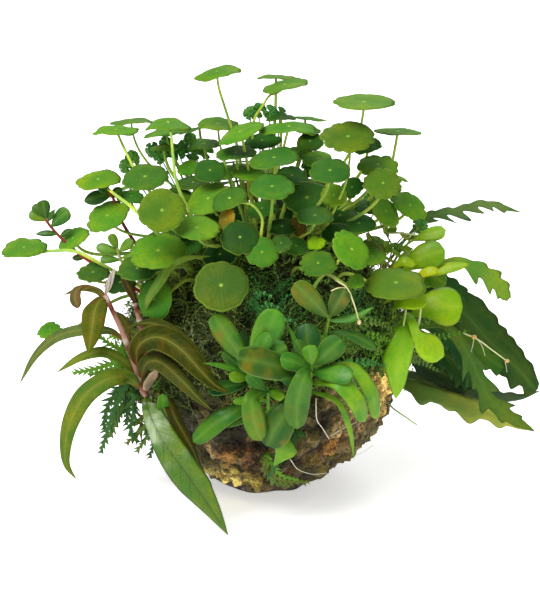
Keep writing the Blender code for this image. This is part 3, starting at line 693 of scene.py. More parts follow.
CRUST = {
    "brown": Tint(0.115, 0.074, 0.014), "tan": Tint(0.86, 0.64, 0.24), "cream": Tint(0.8, 0.68, 0.26),
    "yellow": Tint(0.43, 0.365, 0.085), "grey": Tint(0.58, 0.43, 0.22), "black": Tint(0.024, 0.021, 0.006),
    "olive": Tint(0.075, 0.068, 0.008), "rust": Tint(0.25, 0.12, 0.03), "plum": Tint(0.11, 0.05, 0.022),
}
# Where the crust changes colour: pixel, distance toward the viewer, reach in millimetres, colour
PATCHES = (
    (391, 388, 30, 13, "tan"), (383, 372, 34, 8, "tan"), (390, 403, 30, 12, "tan"), (240, 482, 34, 10, "yellow"),
    (221, 479, 28, 10, "cream"), (357, 434, 44, 13, "grey"), (342, 397, 50, 7, "grey"), (372, 424, 36, 12, "grey"),
    (211, 447, 44, 6, "grey"), (300, 415, 52, 12, "black"), (318, 428, 50, 13, "black"),
    (300, 450, 46, 10, "brown"), (315, 452, 46, 9, "black"), (343, 451, 38, 10, "rust"), (222, 458, 46, 7, "rust"),
    (176, 425, 40, 20, "black"), (208, 415, 46, 16, "black"), (222, 438, 48, 9, "black"),
    (232, 436, 50, 8, "black"), (251, 461, 46, 9, "plum"), (285, 470, 40, 8, "plum"), (270, 440, 50, 9, "olive"),
    (262, 476, 40, 7, "plum"), (285, 460, 44, 7, "black"),
)


def crust_tint(point):
    tint = mixed(CRUST["brown"], CRUST["olive"], 0.5 + 0.5 * noise.noise(point * 0.06))
    tint = mixed(tint, CRUST["black"], max(0.0, 0.9 * noise.noise(point * 0.09 + Vector((5, 5, 5)))))
    for px, py, toward, reach, name in PATCHES:
        gap = (point - seen_at(px, py, toward)).length / reach
        gap += 0.35 * noise.noise(point * 0.25)
        tint = mixed(tint, CRUST[name], clamp(1.6 - 1.5 * gap))
    return tint


def lump_point(down_deg, round_deg):
    """A point of the crust; past the last ring it runs in to the flat foot."""
    way = way_out(min(down_deg, LAST_RING_DEG), round_deg)
    point = BALL_CENTRE + way * (ball_reach(way) + grains(way))
    if down_deg > LAST_RING_DEG:
        share = (down_deg - LAST_RING_DEG) / (180.0 - LAST_RING_DEG)
        flat = Vector((way.x, way.y, 0)).normalized()
        foot = flat * (FOOT_RADIUS + 1.8 * noise.noise(flat * 2.0))
        rest = min(1.0, share / 0.5)
        point = point.lerp(foot, rest) if share < 0.5 else foot * (2.0 - 2.0 * share)
    return Vector((point.x, point.y, max(point.z, 0.0)))


# %% The lump's mesh
def add_lump(growth, down_steps, round_steps):
    loops = []
    for i in range(1, down_steps):
        down_deg = 180.0 * i / down_steps
        turns = [360.0 * k / round_steps for k in range(round_steps)]
        row = [lump_point(down_deg, turn) for turn in turns]
        # The height of each grain is kept in the leaf note. From it the crust's material paints light on raised
        # grains and shade in low ones.
        notes = [(grains(way_out(min(down_deg, LAST_RING_DEG), turn)), 0.0, 0.0) for turn in turns]
        loops.append(growth.loop(row, notes, [tuple(crust_tint(p)) for p in row]))
    for upper, lower in zip(loops, loops[1:]):
        growth.bridge(lower, upper)
    for row, down, upward in ((loops[0], 0.0, True), (loops[-1], 180.0, False)):
        growth.fan(row, lump_point(down, 0.0), CRUST["brown"], upward)


lump = Growth()
add_lump(lump, 190, 290)
substrate = finish_piece(lump.make("substrate_crust", substrate_skin), "substrate", "substrate_ball")
print("substrate triangles:", triangles_of(substrate))

# %% [markdown]
# ## The bed of moss
# Under the loose strands lies a mat so dense that it reads as one dark cushion; its near-black colour is painted
# shade, the shade deep among the strands. It is a skin over the lump, thinner at its ragged lower border, and it
# hides where the strands start. It reaches lowest on the left and at the back, and leaves the crust bare at the
# front right.


# %% The moss bed
def moss_border(round_deg):
    """How far down from the top the moss reaches on that side, in degrees."""
    front = math.cos(math.radians(round_deg + 60.0))
    way = way_out(90.0, round_deg)
    return 97.0 - 15.0 * front + 11.0 * noise.noise(way * 3.1) + 5.0 * noise.noise(way * 9.0)


def bed_point(share, round_deg, depth):
    """A point of the bed, from the top at share 0 to the border at share 1."""
    down_deg = share * moss_border(round_deg)
    way = way_out(down_deg, round_deg)
    lumpy = 1.0 * noise.noise(way * 11.0) + 0.6 * noise.noise(way * 27.0)
    thick = depth * min(1.0, (1.0 - share) / 0.2) ** 0.6 + lumpy * min(1.0, (1.0 - share) / 0.1)
    return BALL_CENTRE + way * (ball_reach(way) + thick)


def add_bed(growth, steps, round_steps):
    loops = []
    tint = Tint(0.01, 0.02, 0.006)
    for i in range(1, 2 * steps):
        share = i / steps if i <= steps else 2.0 - i / steps
        depth = BED_DEPTH if i <= steps else -1.5
        row = []
        for k in range(round_steps):
            point = bed_point(share, 360.0 * k / round_steps, depth)
            if i > steps:
                way = way_to(point)
                point = BALL_CENTRE + way * (ball_reach(way) - 1.5 - 1.0 * min(1.0, (1.0 - share) / 0.1))
            row.append(point)
        loops.append(growth.loop(row, [(share, 0.0, 0.0)] * round_steps, tint))
    for upper, lower in zip(loops, loops[1:]):
        growth.bridge(lower, upper)
    way = Vector((0, 0, 1))
    for row, depth, outer in ((loops[0], BED_DEPTH, True), (loops[-1], -2.5, False)):
        growth.fan(row, BALL_CENTRE + way * (ball_reach(way) + depth), tint, outer)


bed = Growth()
add_bed(bed, 56, 170)
moss_bed = finish_piece(bed.make("moss_bed", moss_bed_shade_skin), "moss", "moss_mat")
print("moss bed triangles:", triangles_of(moss_bed), "border in degrees:",
      [round(moss_border(d)) for d in (-90, -60, 0, 90, 180)])

# %% [markdown]
# ## The round leaf as a rule
# A pennywort leaf is a disc carried at its middle by a thin stalk. Its rim runs in shallow scallops, the blade
# dips at the stalk, droops at its ends and ripples a little. That is a rule with a few sizes, so Geometry
# Nodes make it: a grid is wrapped into a closed lens by polar coordinates, with all sizes as named inputs.
# The stalk comes in as a line of points and is swept into a tube in the same tree. One fault is known: the wrap
# leaves the faces of the blade looking inward, where the stalk's look outward.


# %% A Geometry Nodes tree with named inputs
SOCKETS = {"number": "NodeSocketFloat", "whole": "NodeSocketInt", "place": "NodeSocketVector",
           "turn": "NodeSocketRotation", "colour": "NodeSocketColor", "material": "NodeSocketMaterial"}


def start_tree(name, inputs):
    """A tree that takes and gives geometry. inputs maps each input's name to its kind."""
    tree = bpy.data.node_groups.new(name, "GeometryNodeTree")
    tree.interface.new_socket("Geometry", in_out="INPUT", socket_type="NodeSocketGeometry")
    tree.interface.new_socket("Geometry", in_out="OUTPUT", socket_type="NodeSocketGeometry")
    for key, kind in inputs.items():
        tree.interface.new_socket(key, in_out="INPUT", socket_type=SOCKETS[kind])
    return tree, node(tree, "NodeGroupInput").outputs


def end_tree(tree, geometry, material):
    """Realize instances, set the material and hand the geometry out."""
    real = node(tree, "GeometryNodeRealizeInstances", {0: geometry})
    done = node(tree, "GeometryNodeSetMaterial", {"Geometry": real.outputs[0], "Material": material})
    node(tree, "NodeGroupOutput", {0: done.outputs[0]})


def noted(tree, geometry, name, value, kind, domain="POINT"):
    """Store a note on the geometry for the materials to read."""
    return wire(tree, "GeometryNodeStoreNamedAttribute", {"Geometry": geometry, "Name": name, "Value": value},
                data_type=kind, domain=domain)


def grow(start, tree, values):
    """Run the tree on an object once, and keep the result as its plain mesh."""
    modifier = start.modifiers.new("growth", "NODES")
    modifier.node_group = tree
    for item in tree.interface.items_tree:
        if item.item_type == "SOCKET" and item.in_out == "INPUT" and item.name in values:
            modifier[item.identifier] = values[item.name]
    depsgraph = bpy.context.evaluated_depsgraph_get()
    mesh = bpy.data.meshes.new_from_object(start.evaluated_get(depsgraph), preserve_all_data_layers=True,
                                           depsgraph=depsgraph)
    start.modifiers.remove(modifier)
    start.data = mesh
    return start


# %% The tree of the round leaf
def round_leaf_tree(rings, spokes):
    tree, given = start_tree("round_leaf", {
        "Radius": "number", "Lobes": "number", "Notch": "number", "Arch": "number", "Dish": "number",
        "Wave": "number", "Thickness": "number", "Centre": "place", "Turn": "turn", "Tint": "colour",
        "Stalk Tint": "colour", "Stalk Radius": "number", "Seed": "number", "Material": "material"})
    grid = wire(tree, "GeometryNodeMeshGrid", {"Size X": 2.0, "Size Y": 1.0, "Vertices X": 2 * rings + 1,
                                               "Vertices Y": spokes + 1})
    flat = node(tree, "ShaderNodeSeparateXYZ", {0: wire(tree, "GeometryNodeInputPosition")})
    fold = flat.outputs[0]
    turn = times(plus(flat.outputs[1], 0.5), math.tau)
    reach = minus(1.0, calc("ABSOLUTE", fold))
    over = calc("SIGN", fold)
    cosine, sine = calc("COSINE", turn), calc("SINE", turn)
    drift = wire(tree, "ShaderNodeCombineXYZ", {0: cosine, 1: sine, 2: given["Seed"]})
    wander = wire(tree, "ShaderNodeTexNoise", {"Vector": drift, "Scale": 1.3, "Detail": 1.0})
    wander = minus(wander, 0.5)
    bow_turn = plus(times(turn, given["Lobes"], 0.5), times(wander, 3.0))
    bow = calc("POWER", calc("ABSOLUTE", calc("SINE", bow_turn)), 0.5)
    outer = calc("POWER", reach, 2.5)
    uneven = wire(tree, "ShaderNodeTexNoise", {"Vector": drift, "Scale": 3.1, "Detail": 1.0})
    depth = times(given["Notch"], ease(uneven, 0.35, 0.62, 0.15, 1.25))
    cut = times(minus(1.0, bow), depth, outer)
    rim = minus(plus(1.0, times(wander, 0.16)), cut)
    far = times(reach, rim, given["Radius"])
    x, y = times(far, cosine), times(far, sine)
    along = times(reach, cosine)
    droop = times(along, along, given["Arch"])
    dish = times(reach, reach, given["Dish"], given["Radius"])
    ripple = calc("SINE", plus(times(turn, 3.0), given["Seed"]))
    small = calc("SINE", plus(times(turn, 7.0), times(given["Seed"], 2.3)))
    ripple = plus(ripple, times(small, 0.5))
    ripple = times(ripple, outer, times(given["Wave"], given["Radius"]))
    dip = calc("EXPONENT", times(reach, reach, -60.0))
    dip = times(dip, times(given["Radius"], 0.045))
    thin = calc("SQRT", minus(1.0, calc("POWER", reach, 6.0)))
    half = times(thin, times(given["Thickness"], 0.5), over)
    z = minus(plus(half, ripple), plus(droop, dish, dip))
    # The note comes before the wrap, while the grid still lies flat
    place = wire(tree, "ShaderNodeCombineXYZ", {0: along, 1: times(reach, sine), 2: over})
    marked = noted(tree, grid, "leaf", place, "FLOAT_VECTOR")
    spot = wire(tree, "ShaderNodeCombineXYZ", {0: x, 1: y, 2: z})
    wrapped = wire(tree, "GeometryNodeSetPosition", {"Geometry": marked, "Position": spot})
    closed = wire(tree, "GeometryNodeMergeByDistance", {"Geometry": wrapped, "Distance": 2e-6})
    closed = noted(tree, closed, "tint", given["Tint"], "FLOAT_COLOR")
    blade = wire(tree, "GeometryNodeTransform", {"Geometry": closed, "Translation": given["Centre"],
                                                 "Rotation": given["Turn"]})
    line = wire(tree, "GeometryNodeMeshToCurve", {"Mesh": given["Geometry"]})
    share = wire(tree, "GeometryNodeSplineParameter")
    swell = plus(0.85, times(share, 0.5))
    disc = wire(tree, "GeometryNodeCurvePrimitiveCircle", {"Resolution": 8, "Radius": 1.0})
    tube = node(tree, "GeometryNodeCurveToMesh", {"Curve": line, "Profile Curve": disc, "Fill Caps": True,
                                                  "Scale": times(swell, given["Stalk Radius"])})
    tube = noted(tree, tube.outputs[0], "tint", given["Stalk Tint"], "FLOAT_COLOR")
    tube = noted(tree, tube, "leaf", (0.0, 0.0, 0.0), "FLOAT_VECTOR")
    joined = node(tree, "GeometryNodeJoinGeometry")
    tree.links.new(tube, joined.inputs[0])
    tree.links.new(blade, joined.inputs[0])
    smooth = wire(tree, "GeometryNodeSetShadeSmooth", {0: joined.outputs[0]})
    end_tree(tree, smooth, given["Material"])
    return tree


leaf_tree = round_leaf_tree(rings=7, spokes=84)
print("round leaf tree:", len(leaf_tree.nodes), "nodes")

# %% [markdown]
# ## Where each pennywort leaf stands
# Each row below is one leaf as the photograph shows it: the middle of its ellipse, how far it stands toward
# the viewer, the ellipse's width and height, how far it leans, its tint, how deep its scallops are, and, where
# that is unusual, how much its ends droop and ripple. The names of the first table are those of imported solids.
# The leaves of the second are smaller or half hidden, and those called gap fill the dark green between stalks.

# %% The leaves seen from the front
Round = namedtuple("Round", "name px py toward wide high lean tint notch arch wave",
                   defaults=("green", 0.05, 0.8, 0.035))
PENNYWORT = [Round(*row) for row in (
    ("01_top_left", 217, 71, -5, 47, 16, 12, "fresh", 0.03, 1),
    ("02_top_middle", 285, 84, -16, 46, 15, 12, "pale", 0.05, 0.6),
    ("03_top_right", 364, 101, 5, 62, 21, 0, "fresh", 0.02, 0.2, 0.01),
    ("04_right_edge_on", 398, 131, -10, 48, 11, -3, "pale", 0.02, 0.2, 0.02),
    ("05_right_big", 348, 136, 18, 55, 34, 0, "olive", 0.07, 0.4, 0.02),
    ("06_left_upper", 116, 129, -5, 47, 13, 2, "fresh", 0.06, 0.8, 0.045),
    ("07_left_arched", 168, 122, 0, 48, 15, 0, "fresh", 0.04, 2.4),
    ("08_back_middle", 218, 123, -12, 43, 16, 0, "fresh", 0.08),
    ("09_middle_slanted", 240, 131, 6, 50, 18, 24, "fresh"),
    ("10_middle_long", 289, 126, 5, 58, 16, 0, "fresh", 0.05, 2),
    ("11_left_outer", 98, 179, 6, 45, 21, 6, "warm", 0.03),
    ("12_left_inner", 145, 176, 22, 48, 28, 8, "green", 0.04),
    ("13_right_scalloped", 378, 164, 12, 42, 24, 0, "fresh", 0.14, 0.8, 0.05),
    ("14_right_olive", 383, 183, 28, 39, 32, 0, "ochre", 0.11, 0.6, 0.05),
    ("15_right_dark", 330, 170, 32, 42, 28, 0, "cool", 0.06, 0.8, 0.02),
    ("16_middle_front", 272, 186, 40, 46, 28, 3), ("17_middle_high", 274, 157, 24, 50, 23, 10, "green", 0.03),
    ("18_left_ribbed", 162, 210, 48, 48, 43, 0, "olive", 0.03, 0.5),
    ("19_left_low", 158, 250, 40, 57, 38, 5, "warm"), ("20_left_light", 197, 227, 44, 47, 26, 0, "fresh", 0.06),
    ("21_middle_dark", 240, 237, 44, 40, 36, 0, "dark", 0.07),
    ("22_front_ribbed", 221, 285, 62, 57, 49, 0, "dull", 0.02, 0.5),
    ("23_right_steep", 352, 249, 48, 46, 31, -50, "fresh"),
    ("24_front_scalloped", 318, 263, 54, 38, 27, 3, "green", 0.11, 0.8, 0.05),
    ("25_right_low", 396, 282, 44, 61, 34, 0, "ochre", 0.03),
    ("26_right_leaning", 410, 205, 4, 40, 24, -30, "fresh", 0.08),
    ("27_left_far", 24, 247, 15, 46, 21, 6, "warm", 0.06, 1),
    ("28_left_tipped", 73, 238, 10, 34, 19, 30, "fresh", 0.04),
    ("29_left_slanted", 107, 215, 14, 47, 29, 28, "fresh", 0.06),
)]
MORE_PENNYWORT = [Round(*row) for row in (
    ("40_left_upper_behind", 131, 120, -28, 44, 9, 3, "pale"),
    ("41_left_under_arch", 166, 131, -20, 50, 11, 10, "pale", 0.04),
    ("42_left_lower_edge", 164, 147, -10, 29, 8, 0, "pale", 0.04),
    ("43_dark_middle", 236, 152, 5, 41, 17, 4, "green", 0.06),
    ("44_dark_round", 210, 170, 18, 33, 25, 0, "deep", 0.04),
    ("45_light_behind", 189, 167, 0, 25, 16, 12, "fresh", 0.04),
    ("46_under_dark", 193, 182, 10, 34, 16, 0, "cool", 0.04),
    ("47_top_middle_behind", 276, 76, -30, 38, 8, 0, "pale", 0.05, 0.5),
    ("48_right_behind_big", 367, 145, 0, 29, 17, 14, "deep", 0.06), ("49_thin_behind", 281, 117, -20, 30, 8, 4),
    ("50_lime_under", 208, 198, 24, 50, 30, 24, "fresh"), ("51_slanted_middle", 229, 198, 32, 38, 22, 25),
    ("52_low_middle", 262, 252, 48, 34, 30, 0, "green", 0.08),
    ("53_small_low", 281, 243, 44, 24, 17, 12, "cool", 0.1),
    ("54_very_dark", 307, 197, 20, 50, 34, 0, "deep", 0.04), ("55_flat_middle", 315, 215, 35, 38, 20, 0, "cool"),
    ("56_dark_right", 359, 223, 20, 35, 20, 0, "deep", 0.04),
    ("57_right_leaning_behind", 386, 211, 12, 38, 23, -50, "fresh"),
    ("58_small_front", 356, 281, 48, 18, 15, 0, "fresh", 0.14, 0.6),
    ("59_left_low_dark", 93, 272, 25, 33, 20, 0, "cool", 0.09),
    ("60_far_left_low", 50, 330, 10, 26, 17, 4, "fresh", 0.1),
    ("61_behind_bronze", 154, 299, 40, 35, 43, 0, "green", 0.05, 0.6),
    ("62_left_hidden", 137, 268, 35, 38, 26, 0, "cool"), ("63_dying", 226, 219, 36, 17, 27, 0, "dying", 0.06),
    ("64_back_top", 310, 141, -15, 27, 21, 8, "deep"), ("65_back_right", 352, 187, 10, 24, 20, 40, "deep", 0.08),
    ("66_lime_right", 334, 195, 22, 27, 24, 0, "bright"),
    ("67_behind_middle", 262, 140, -8, 40, 18, 8, "deep", 0.06), ("68_deep_gap", 292, 175, 8, 34, 20, -10, "deep"),
    ("70_behind_left", 176, 196, 16, 32, 20, 6, "cool"), ("71_right_gap", 340, 215, 10, 36, 22, 10, "deep", 0.06),
    ("72_curled", 316, 243, 40, 20, 14, 20, "lime", 0.06, 0.4, 0.12),
    ("74_gap", 131, 196, 4, 30, 15, -6, "green", 0.08), ("76_gap", 186, 243, 24, 34, 22, 0, "cool", 0.06),
    ("77_gap", 212, 214, 20, 32, 20, -12, "deep", 0.06), ("78_gap", 220, 254, 34, 38, 24, 10, "dark", 0.06),
    ("80_gap", 204, 143, -16, 34, 13, 6, "green", 0.08), ("82_gap", 306, 128, -20, 30, 13, -8, "green", 0.08),
    ("83_gap", 318, 158, -4, 34, 18, -6, "fresh", 0.06), ("84_gap", 298, 152, -10, 30, 16, 6, "cool", 0.06),
    ("85_gap", 248, 172, 6, 34, 18, -8, "fresh", 0.06), ("86_gap", 262, 208, 18, 34, 18, 10, "deep", 0.06),
    ("87_gap", 282, 226, 22, 30, 18, 0, "dark", 0.06), ("88_gap", 341, 206, 4, 30, 17, 8, "fresh", 0.06),
    ("89_gap", 366, 206, 2, 30, 16, -10, "deep", 0.06), ("91_gap", 376, 243, 4, 26, 16, -12, "bright", 0.08),
    ("94_gap", 146, 268, 26, 36, 22, -6, "deep", 0.08), ("95_gap", 120, 282, 24, 32, 22, 10, "dark", 0.08),
    ("96_gap", 228, 172, 2, 26, 15, 10, "bright", 0.06), ("97_gap", 176, 226, 24, 30, 20, 0, "dark", 0.06),
    ("98_gap", 336, 232, 26, 30, 20, 10, "dark", 0.06), ("99_gap", 296, 246, 34, 26, 18, 0, "deep", 0.06),
    ("100_gap", 372, 256, 20, 30, 18, 8, "fresh", 0.06), ("102_gap", 280, 209, -8, 44, 26, 6, "dark", 0.06),
    ("103_gap", 240, 213, -8, 36, 26, -8, "dark", 0.06), ("104_gap", 250, 190, -14, 36, 20, 8, "rusty", 0.06),
    ("105_brown", 299, 226, 24, 15, 25, 0, "rusty", 0.08),
)]
# Stalks whose whole way is seen, from under the blade down
SEEN_STALKS = {
    "01_top_left": ((218, 84, -5), (226, 111, -8), (238, 150, -6)),
    "02_top_middle": ((280, 92, -16), (270, 95, -15), (262, 107, -14), (254, 120, -12)),
    "06_left_upper": ((119, 137, -4), (126, 152, 2), (134, 168, 8)),
    "07_left_arched": ((171, 134, 10), (173, 155, 22), (177, 184, 30)),
    "11_left_outer": ((105, 186, 3), (113, 193, 16), (138, 213, 34)),
    "05_right_big": ((350, 154, 18), (349, 164, 20), (346, 182, 24)),
    "04_right_edge_on": ((397, 137, -10), (395, 148, -8), (391, 164, -4)),
    "27_left_far": ((29, 253, 15), (50, 251, 16), (74, 251, 18), (92, 259, 22)),
    "51_slanted_middle": ((238, 202, 34), (252, 205, 34), (262, 218, 34), (261, 236, 38)),
    "10_middle_long": ((287, 134, 4), (283, 150, 4), (277, 170, 6)),
    "23_right_steep": ((341, 258, 46), (333, 268, 46), (322, 276, 48)),
}
print("leaves seen from the front:", len(PENNYWORT) + len(MORE_PENNYWORT))

# %% [markdown]
# ## From a leaf's ellipse to its tilt
# A flat disc seen at an angle makes an ellipse, and its height over its width is the cosine of that angle. The
# stalk leaves the blade nearly square to it and arrives square to the ball, as a curve with two handles does.


# %% Blade and stalk
def facing(wide, high, lean_deg):
    if high > wide:
        wide, high, lean_deg = high, wide, lean_deg + 90.0
    tip = math.acos(min(high / wide, 0.98))
    lean = math.radians(lean_deg)
    long_axis = PICTURE_RIGHT * math.cos(lean) + PICTURE_UP * math.sin(lean)
    short_axis = PICTURE_UP * math.cos(lean) - PICTURE_RIGHT * math.sin(lean)
    if short_axis.z < 0:
        short_axis = -short_axis
    return long_axis, TO_EYE * math.cos(tip) + short_axis * math.sin(tip)


BLADE_THICK = 0.42
SOLID_THICK = 0.6
ROOT_TURN = 0.76
ROOT_REACH_DEG = 66.0
STALK_STEPS, SEEN_STALK_STEPS = 16, 24


def petiole_route(centre, normal):
    """From under a round blade down into the moss."""
    way = way_to(centre)
    down = min(math.acos(way.z) * ROOT_TURN, math.radians(ROOT_REACH_DEG))
    flat = Vector((way.x, way.y, 0)).normalized()
    root_way = flat * math.sin(down) + Vector((0, 0, math.cos(down)))
    root = on_ground(root_way)
    start = centre - normal * (0.3 * SOLID_THICK)
    far = (start - root).length
    knee = start - normal * far * 0.26 - Vector((0, 0, far * 0.16))
    ankle = root + root_way * far * 0.36
    route = []
    for step in range(STALK_STEPS + 1):
        t = step / STALK_STEPS
        route.append(start * (1 - t) ** 3 + knee * 3 * t * (1 - t) ** 2 + ankle * 3 * t * t * (1 - t)
                     + root * t ** 3)
    return route + [root - root_way * 2.5]


def seen_stalk(centre, spots):
    """A stalk through the spots at which the photograph shows it, and on into the ball."""
    points = [seen_at(*spot) for spot in spots]
    way = way_to(points[-1])
    root = on_ground(way)
    return smooth_route([centre] + points + [root + way * 2.0, root - way * 2.0], SEEN_STALK_STEPS)


def line_object(name, route):
    mesh = bpy.data.meshes.new(name)
    mesh.from_pydata([p * MM for p in route], [(k, k + 1) for k in range(len(route) - 1)], [])
    return put_in_scene(name, mesh)


dice = random.Random(41)


def grow_round_leaf(name, centre, across, long_axis, normal, arch, tint, notch, wave):
    cross_axis = normal.cross(long_axis).normalized()
    turn = Matrix((long_axis, cross_axis, normal)).transposed().to_quaternion()
    spots = SEEN_STALKS.get(name.removeprefix("pennywort_"))
    line = line_object(name, seen_stalk(centre, spots) if spots else petiole_route(centre, normal))
    body = Tint(*(v * dice.uniform(0.88, 1.12) for v in GREENS[tint][:3]), GREENS[tint].blush)
    low = clamp((centre.z - 60.0) / 40.0)
    stalk = mixed(mixed(Tint(0.14, 0.20, 0.03), GREENS["petiole"], 0.3 + 0.7 * low), body, dice.uniform(0.0, 0.2))
    if spots:
        stalk = GREENS["petiole"]
    return grow(line, leaf_tree, {
        "Radius": across / 2 * 1.02 * MM, "Lobes": float(dice.choice((9, 10, 11, 12, 13))),
        "Notch": 0.04 + 1.2 * notch, "Arch": arch * MM, "Dish": dice.uniform(0.02, 0.07), "Wave": wave,
        "Thickness": BLADE_THICK * MM, "Centre": centre * MM, "Turn": turn.to_euler(), "Tint": tuple(body),
        "Stalk Tint": tuple(stalk), "Stalk Radius": dice.uniform(0.5, 0.68) * MM, "Seed": dice.uniform(0.0, 40.0),
        "Material": round_skin})


# %% The pennywort seen from the front
for leaf in PENNYWORT + MORE_PENNYWORT:
    long_axis, normal = facing(leaf.wide, leaf.high, leaf.lean)
    centre = seen_at(leaf.px, leaf.py, leaf.toward)
    across = width_at(max(leaf.wide, leaf.high), centre)
    piece = grow_round_leaf("pennywort_" + leaf.name, centre, across, long_axis, normal, leaf.arch, leaf.tint,
                            leaf.notch, leaf.wave)
    finish_piece(piece, "pennywort", *solid_of("pennywort_leaf_" + leaf.name))
print("triangles of one round leaf:", triangles_of(piece))

# %% [markdown]
# ## The far side
# The photograph doesn't show the rear. The plant grows all round its ball, so round leaves like those of the
# front stand there too: five packed ones, and smaller ones between them, dealt out with a fixed seed.

# %% The pennywort of the far side
Rear = namedtuple("Rear", "name turn_deg reach high wide tip_deg tint", defaults=("green",))
REAR_LEAVES = [
    Rear("30_rear_right", 38, 62, 118, 21, 24, "fresh"), Rear("31_rear_upper_right", 68, 44, 140, 19, 12, "fresh"),
    Rear("32_rear_middle", 96, 66, 112, 22, 30), Rear("33_rear_upper_left", 124, 48, 136, 18, 14, "cool"),
    Rear("34_rear_left", 150, 64, 114, 21, 26, "fresh"),
]
deal = random.Random(23)
REAR_MORE = 26
for k in range(REAR_MORE):
    turn_deg = 8 + (k * 61.8) % 164 + deal.uniform(-4, 4)
    tier = (k % 4) / 3
    reach = 60 - 34 * tier + deal.uniform(-4, 4)
    high = 82 + 40 * tier + deal.uniform(-6, 6)
    REAR_LEAVES.append(Rear("rear_" + str(k + 1), turn_deg, reach, high, deal.uniform(13, 19), 38 - 24 * tier,
                            deal.choice(("fresh", "green", "cool", "deep"))))
for leaf in REAR_LEAVES:
    out = Vector((math.cos(math.radians(leaf.turn_deg)), math.sin(math.radians(leaf.turn_deg)), 0.0))
    tip = math.radians(leaf.tip_deg)
    normal = out * math.sin(tip) + Vector((0, 0, math.cos(tip)))
    centre = out * leaf.reach + Vector((0, 0, leaf.high))
    piece = grow_round_leaf("pennywort_" + leaf.name, centre, leaf.wide, out.cross(normal).normalized(), normal,
                            0.8, leaf.tint, 0.05, 0.04)
    finish_piece(piece, "pennywort", *solid_of("pennywort_leaf_" + leaf.name))
print("leaves of the far side:", len(REAR_LEAVES))

# %% [markdown]
# ## Long leaves and fronds
# Five kinds of leaf share one way of growing: a midrib through a few points seen in the photograph, an
# outline, and a form that says how far the halves fold up, curl down and ripple. Each kind has its own form.
# A leaf starts where its solid starts, at a stem or square to the ball.

# %% The kinds of long leaf
STEM_RADIUS = 1.0
ROOT_RUN = 2.5
Kind = namedtuple("Kind", "skin slot form steps tint stalk")
KINDS = {
    "bronze": Kind(bronze_skin, "bronze_leaf", Form(0.10, 0.16, 0.05, 2.5, 0.32, 0.10), 36,
                   Tint(0.070, 0.066, 0.007), Tint(0.16, 0.022, 0.008)),
    "willow": Kind(willow_skin, "green_willow_leaf", Form(0.12, 0.16, 0.03, 2.0, 0.36, 0.16, 0.0, 10), 44,
                   Tint(0.098, 0.168, 0.012), Tint(0.18, 0.04, 0.012)),
    "lobed": Kind(lobed_skin, "lobed_leaf", Form(0.06, 0.10, 0.06, 3.0, 0.30, 0.08, 0.0, 6), 40,
                  Tint(0.055, 0.13, 0.014), Tint(0.07, 0.13, 0.018)),
    "lime": Kind(lime_skin, "lime_leaf", Form(0.06, 0.22, 0.04, 1.5, 0.34, 0.05, 0.0, 10), 32,
                 Tint(0.21, 0.36, 0.006), Tint(0.30, 0.42, 0.05)),
    "rosette": Kind(rosette_skin, "rosette_leaf", Form(0.10, 0.20, 0.03, 1.5, 0.42, 0.08), 24,
                    Tint(0.062, 0.19, 0.010), Tint(0.16, 0.33, 0.025)),
}


def stem_base(stem_route, place, first):
    """A point at the side of a stem, on the side that looks to the leaf's first spot."""
    middle = point_along(stem_route, place)
    along = (point_along(stem_route, place + 0.03) - point_along(stem_route, place - 0.03)).normalized()
    out = first - middle
    return middle + (out - along * out.dot(along)).normalized() * STEM_RADIUS * 0.6


def blade_route(spots, root, steps, stems):
    """The midrib: from a stem, from the ball under the first spot, or free from the first spot itself."""
    points = [seen_at(*spot) for spot in spots]
    if root == "ball":
        way = way_to(points[0])
        base = on_ground(way)
        points = [base - way * 1.5, base + way * ROOT_RUN] + points[1:]
    elif root != "free":
        points = [stem_base(stems[root[0]], root[1], points[0])] + points
    return smooth_route(points, steps)


# %% [markdown]
# ## The bronze stems
# Two hairy stems rise from the moss on the left. They are pink, with dark red stretches between pale swollen
# nodes, and fine white hairs stand off them. The first ends in two silvery bud leaves.

# %% Stems with nodes and hairs
PINK, RED, SILVER = Tint(0.32, 0.17, 0.125), Tint(0.10, 0.012, 0.006), Tint(0.46, 0.44, 0.36)
BRONZE_STEMS = {
    "bronze_stem_1": (((147, 394, 32), (135, 366, 40), (124, 336, 39), (105, 295, 35)), (0.06, 0.3, 0.62, 0.97)),
    "bronze_stem_2": (((152, 356, 32), (145, 341, 33), (140, 322, 31), (135, 303, 29)), (0.35, 0.72, 0.98)),
}


def rooted_route(spots, steps):
    points = [seen_at(*spot) for spot in spots]
    way = way_to(points[0])
    root = on_ground(way)
    return smooth_route([root - way * 1.5, root + way * ROOT_RUN] + points[1:], steps)


def tint_of_stem(share, joints):
    """Dark red just under each node, pink elsewhere, and silvery at the node."""
    tint = PINK
    for joint in joints:
        below = joint - share
        if 0.0 < below < 0.16:
            tint = mixed(tint, RED, math.sin(math.pi * below / 0.16))
        tint = mixed(tint, SILVER, max(0.0, 1.0 - abs(below) / 0.035))
    return tint


def add_tinted_tube(growth, route, radius_at, sides, tint_at):
    """A tube whose tint changes along its length."""
    first = len(growth.tint)
    add_tube(growth, route, radius_at, sides, PINK)
    for k in range(len(growth.tint) - first):
        growth.tint[first + k] = tuple(tint_at((k // sides) / (len(route) - 1)))


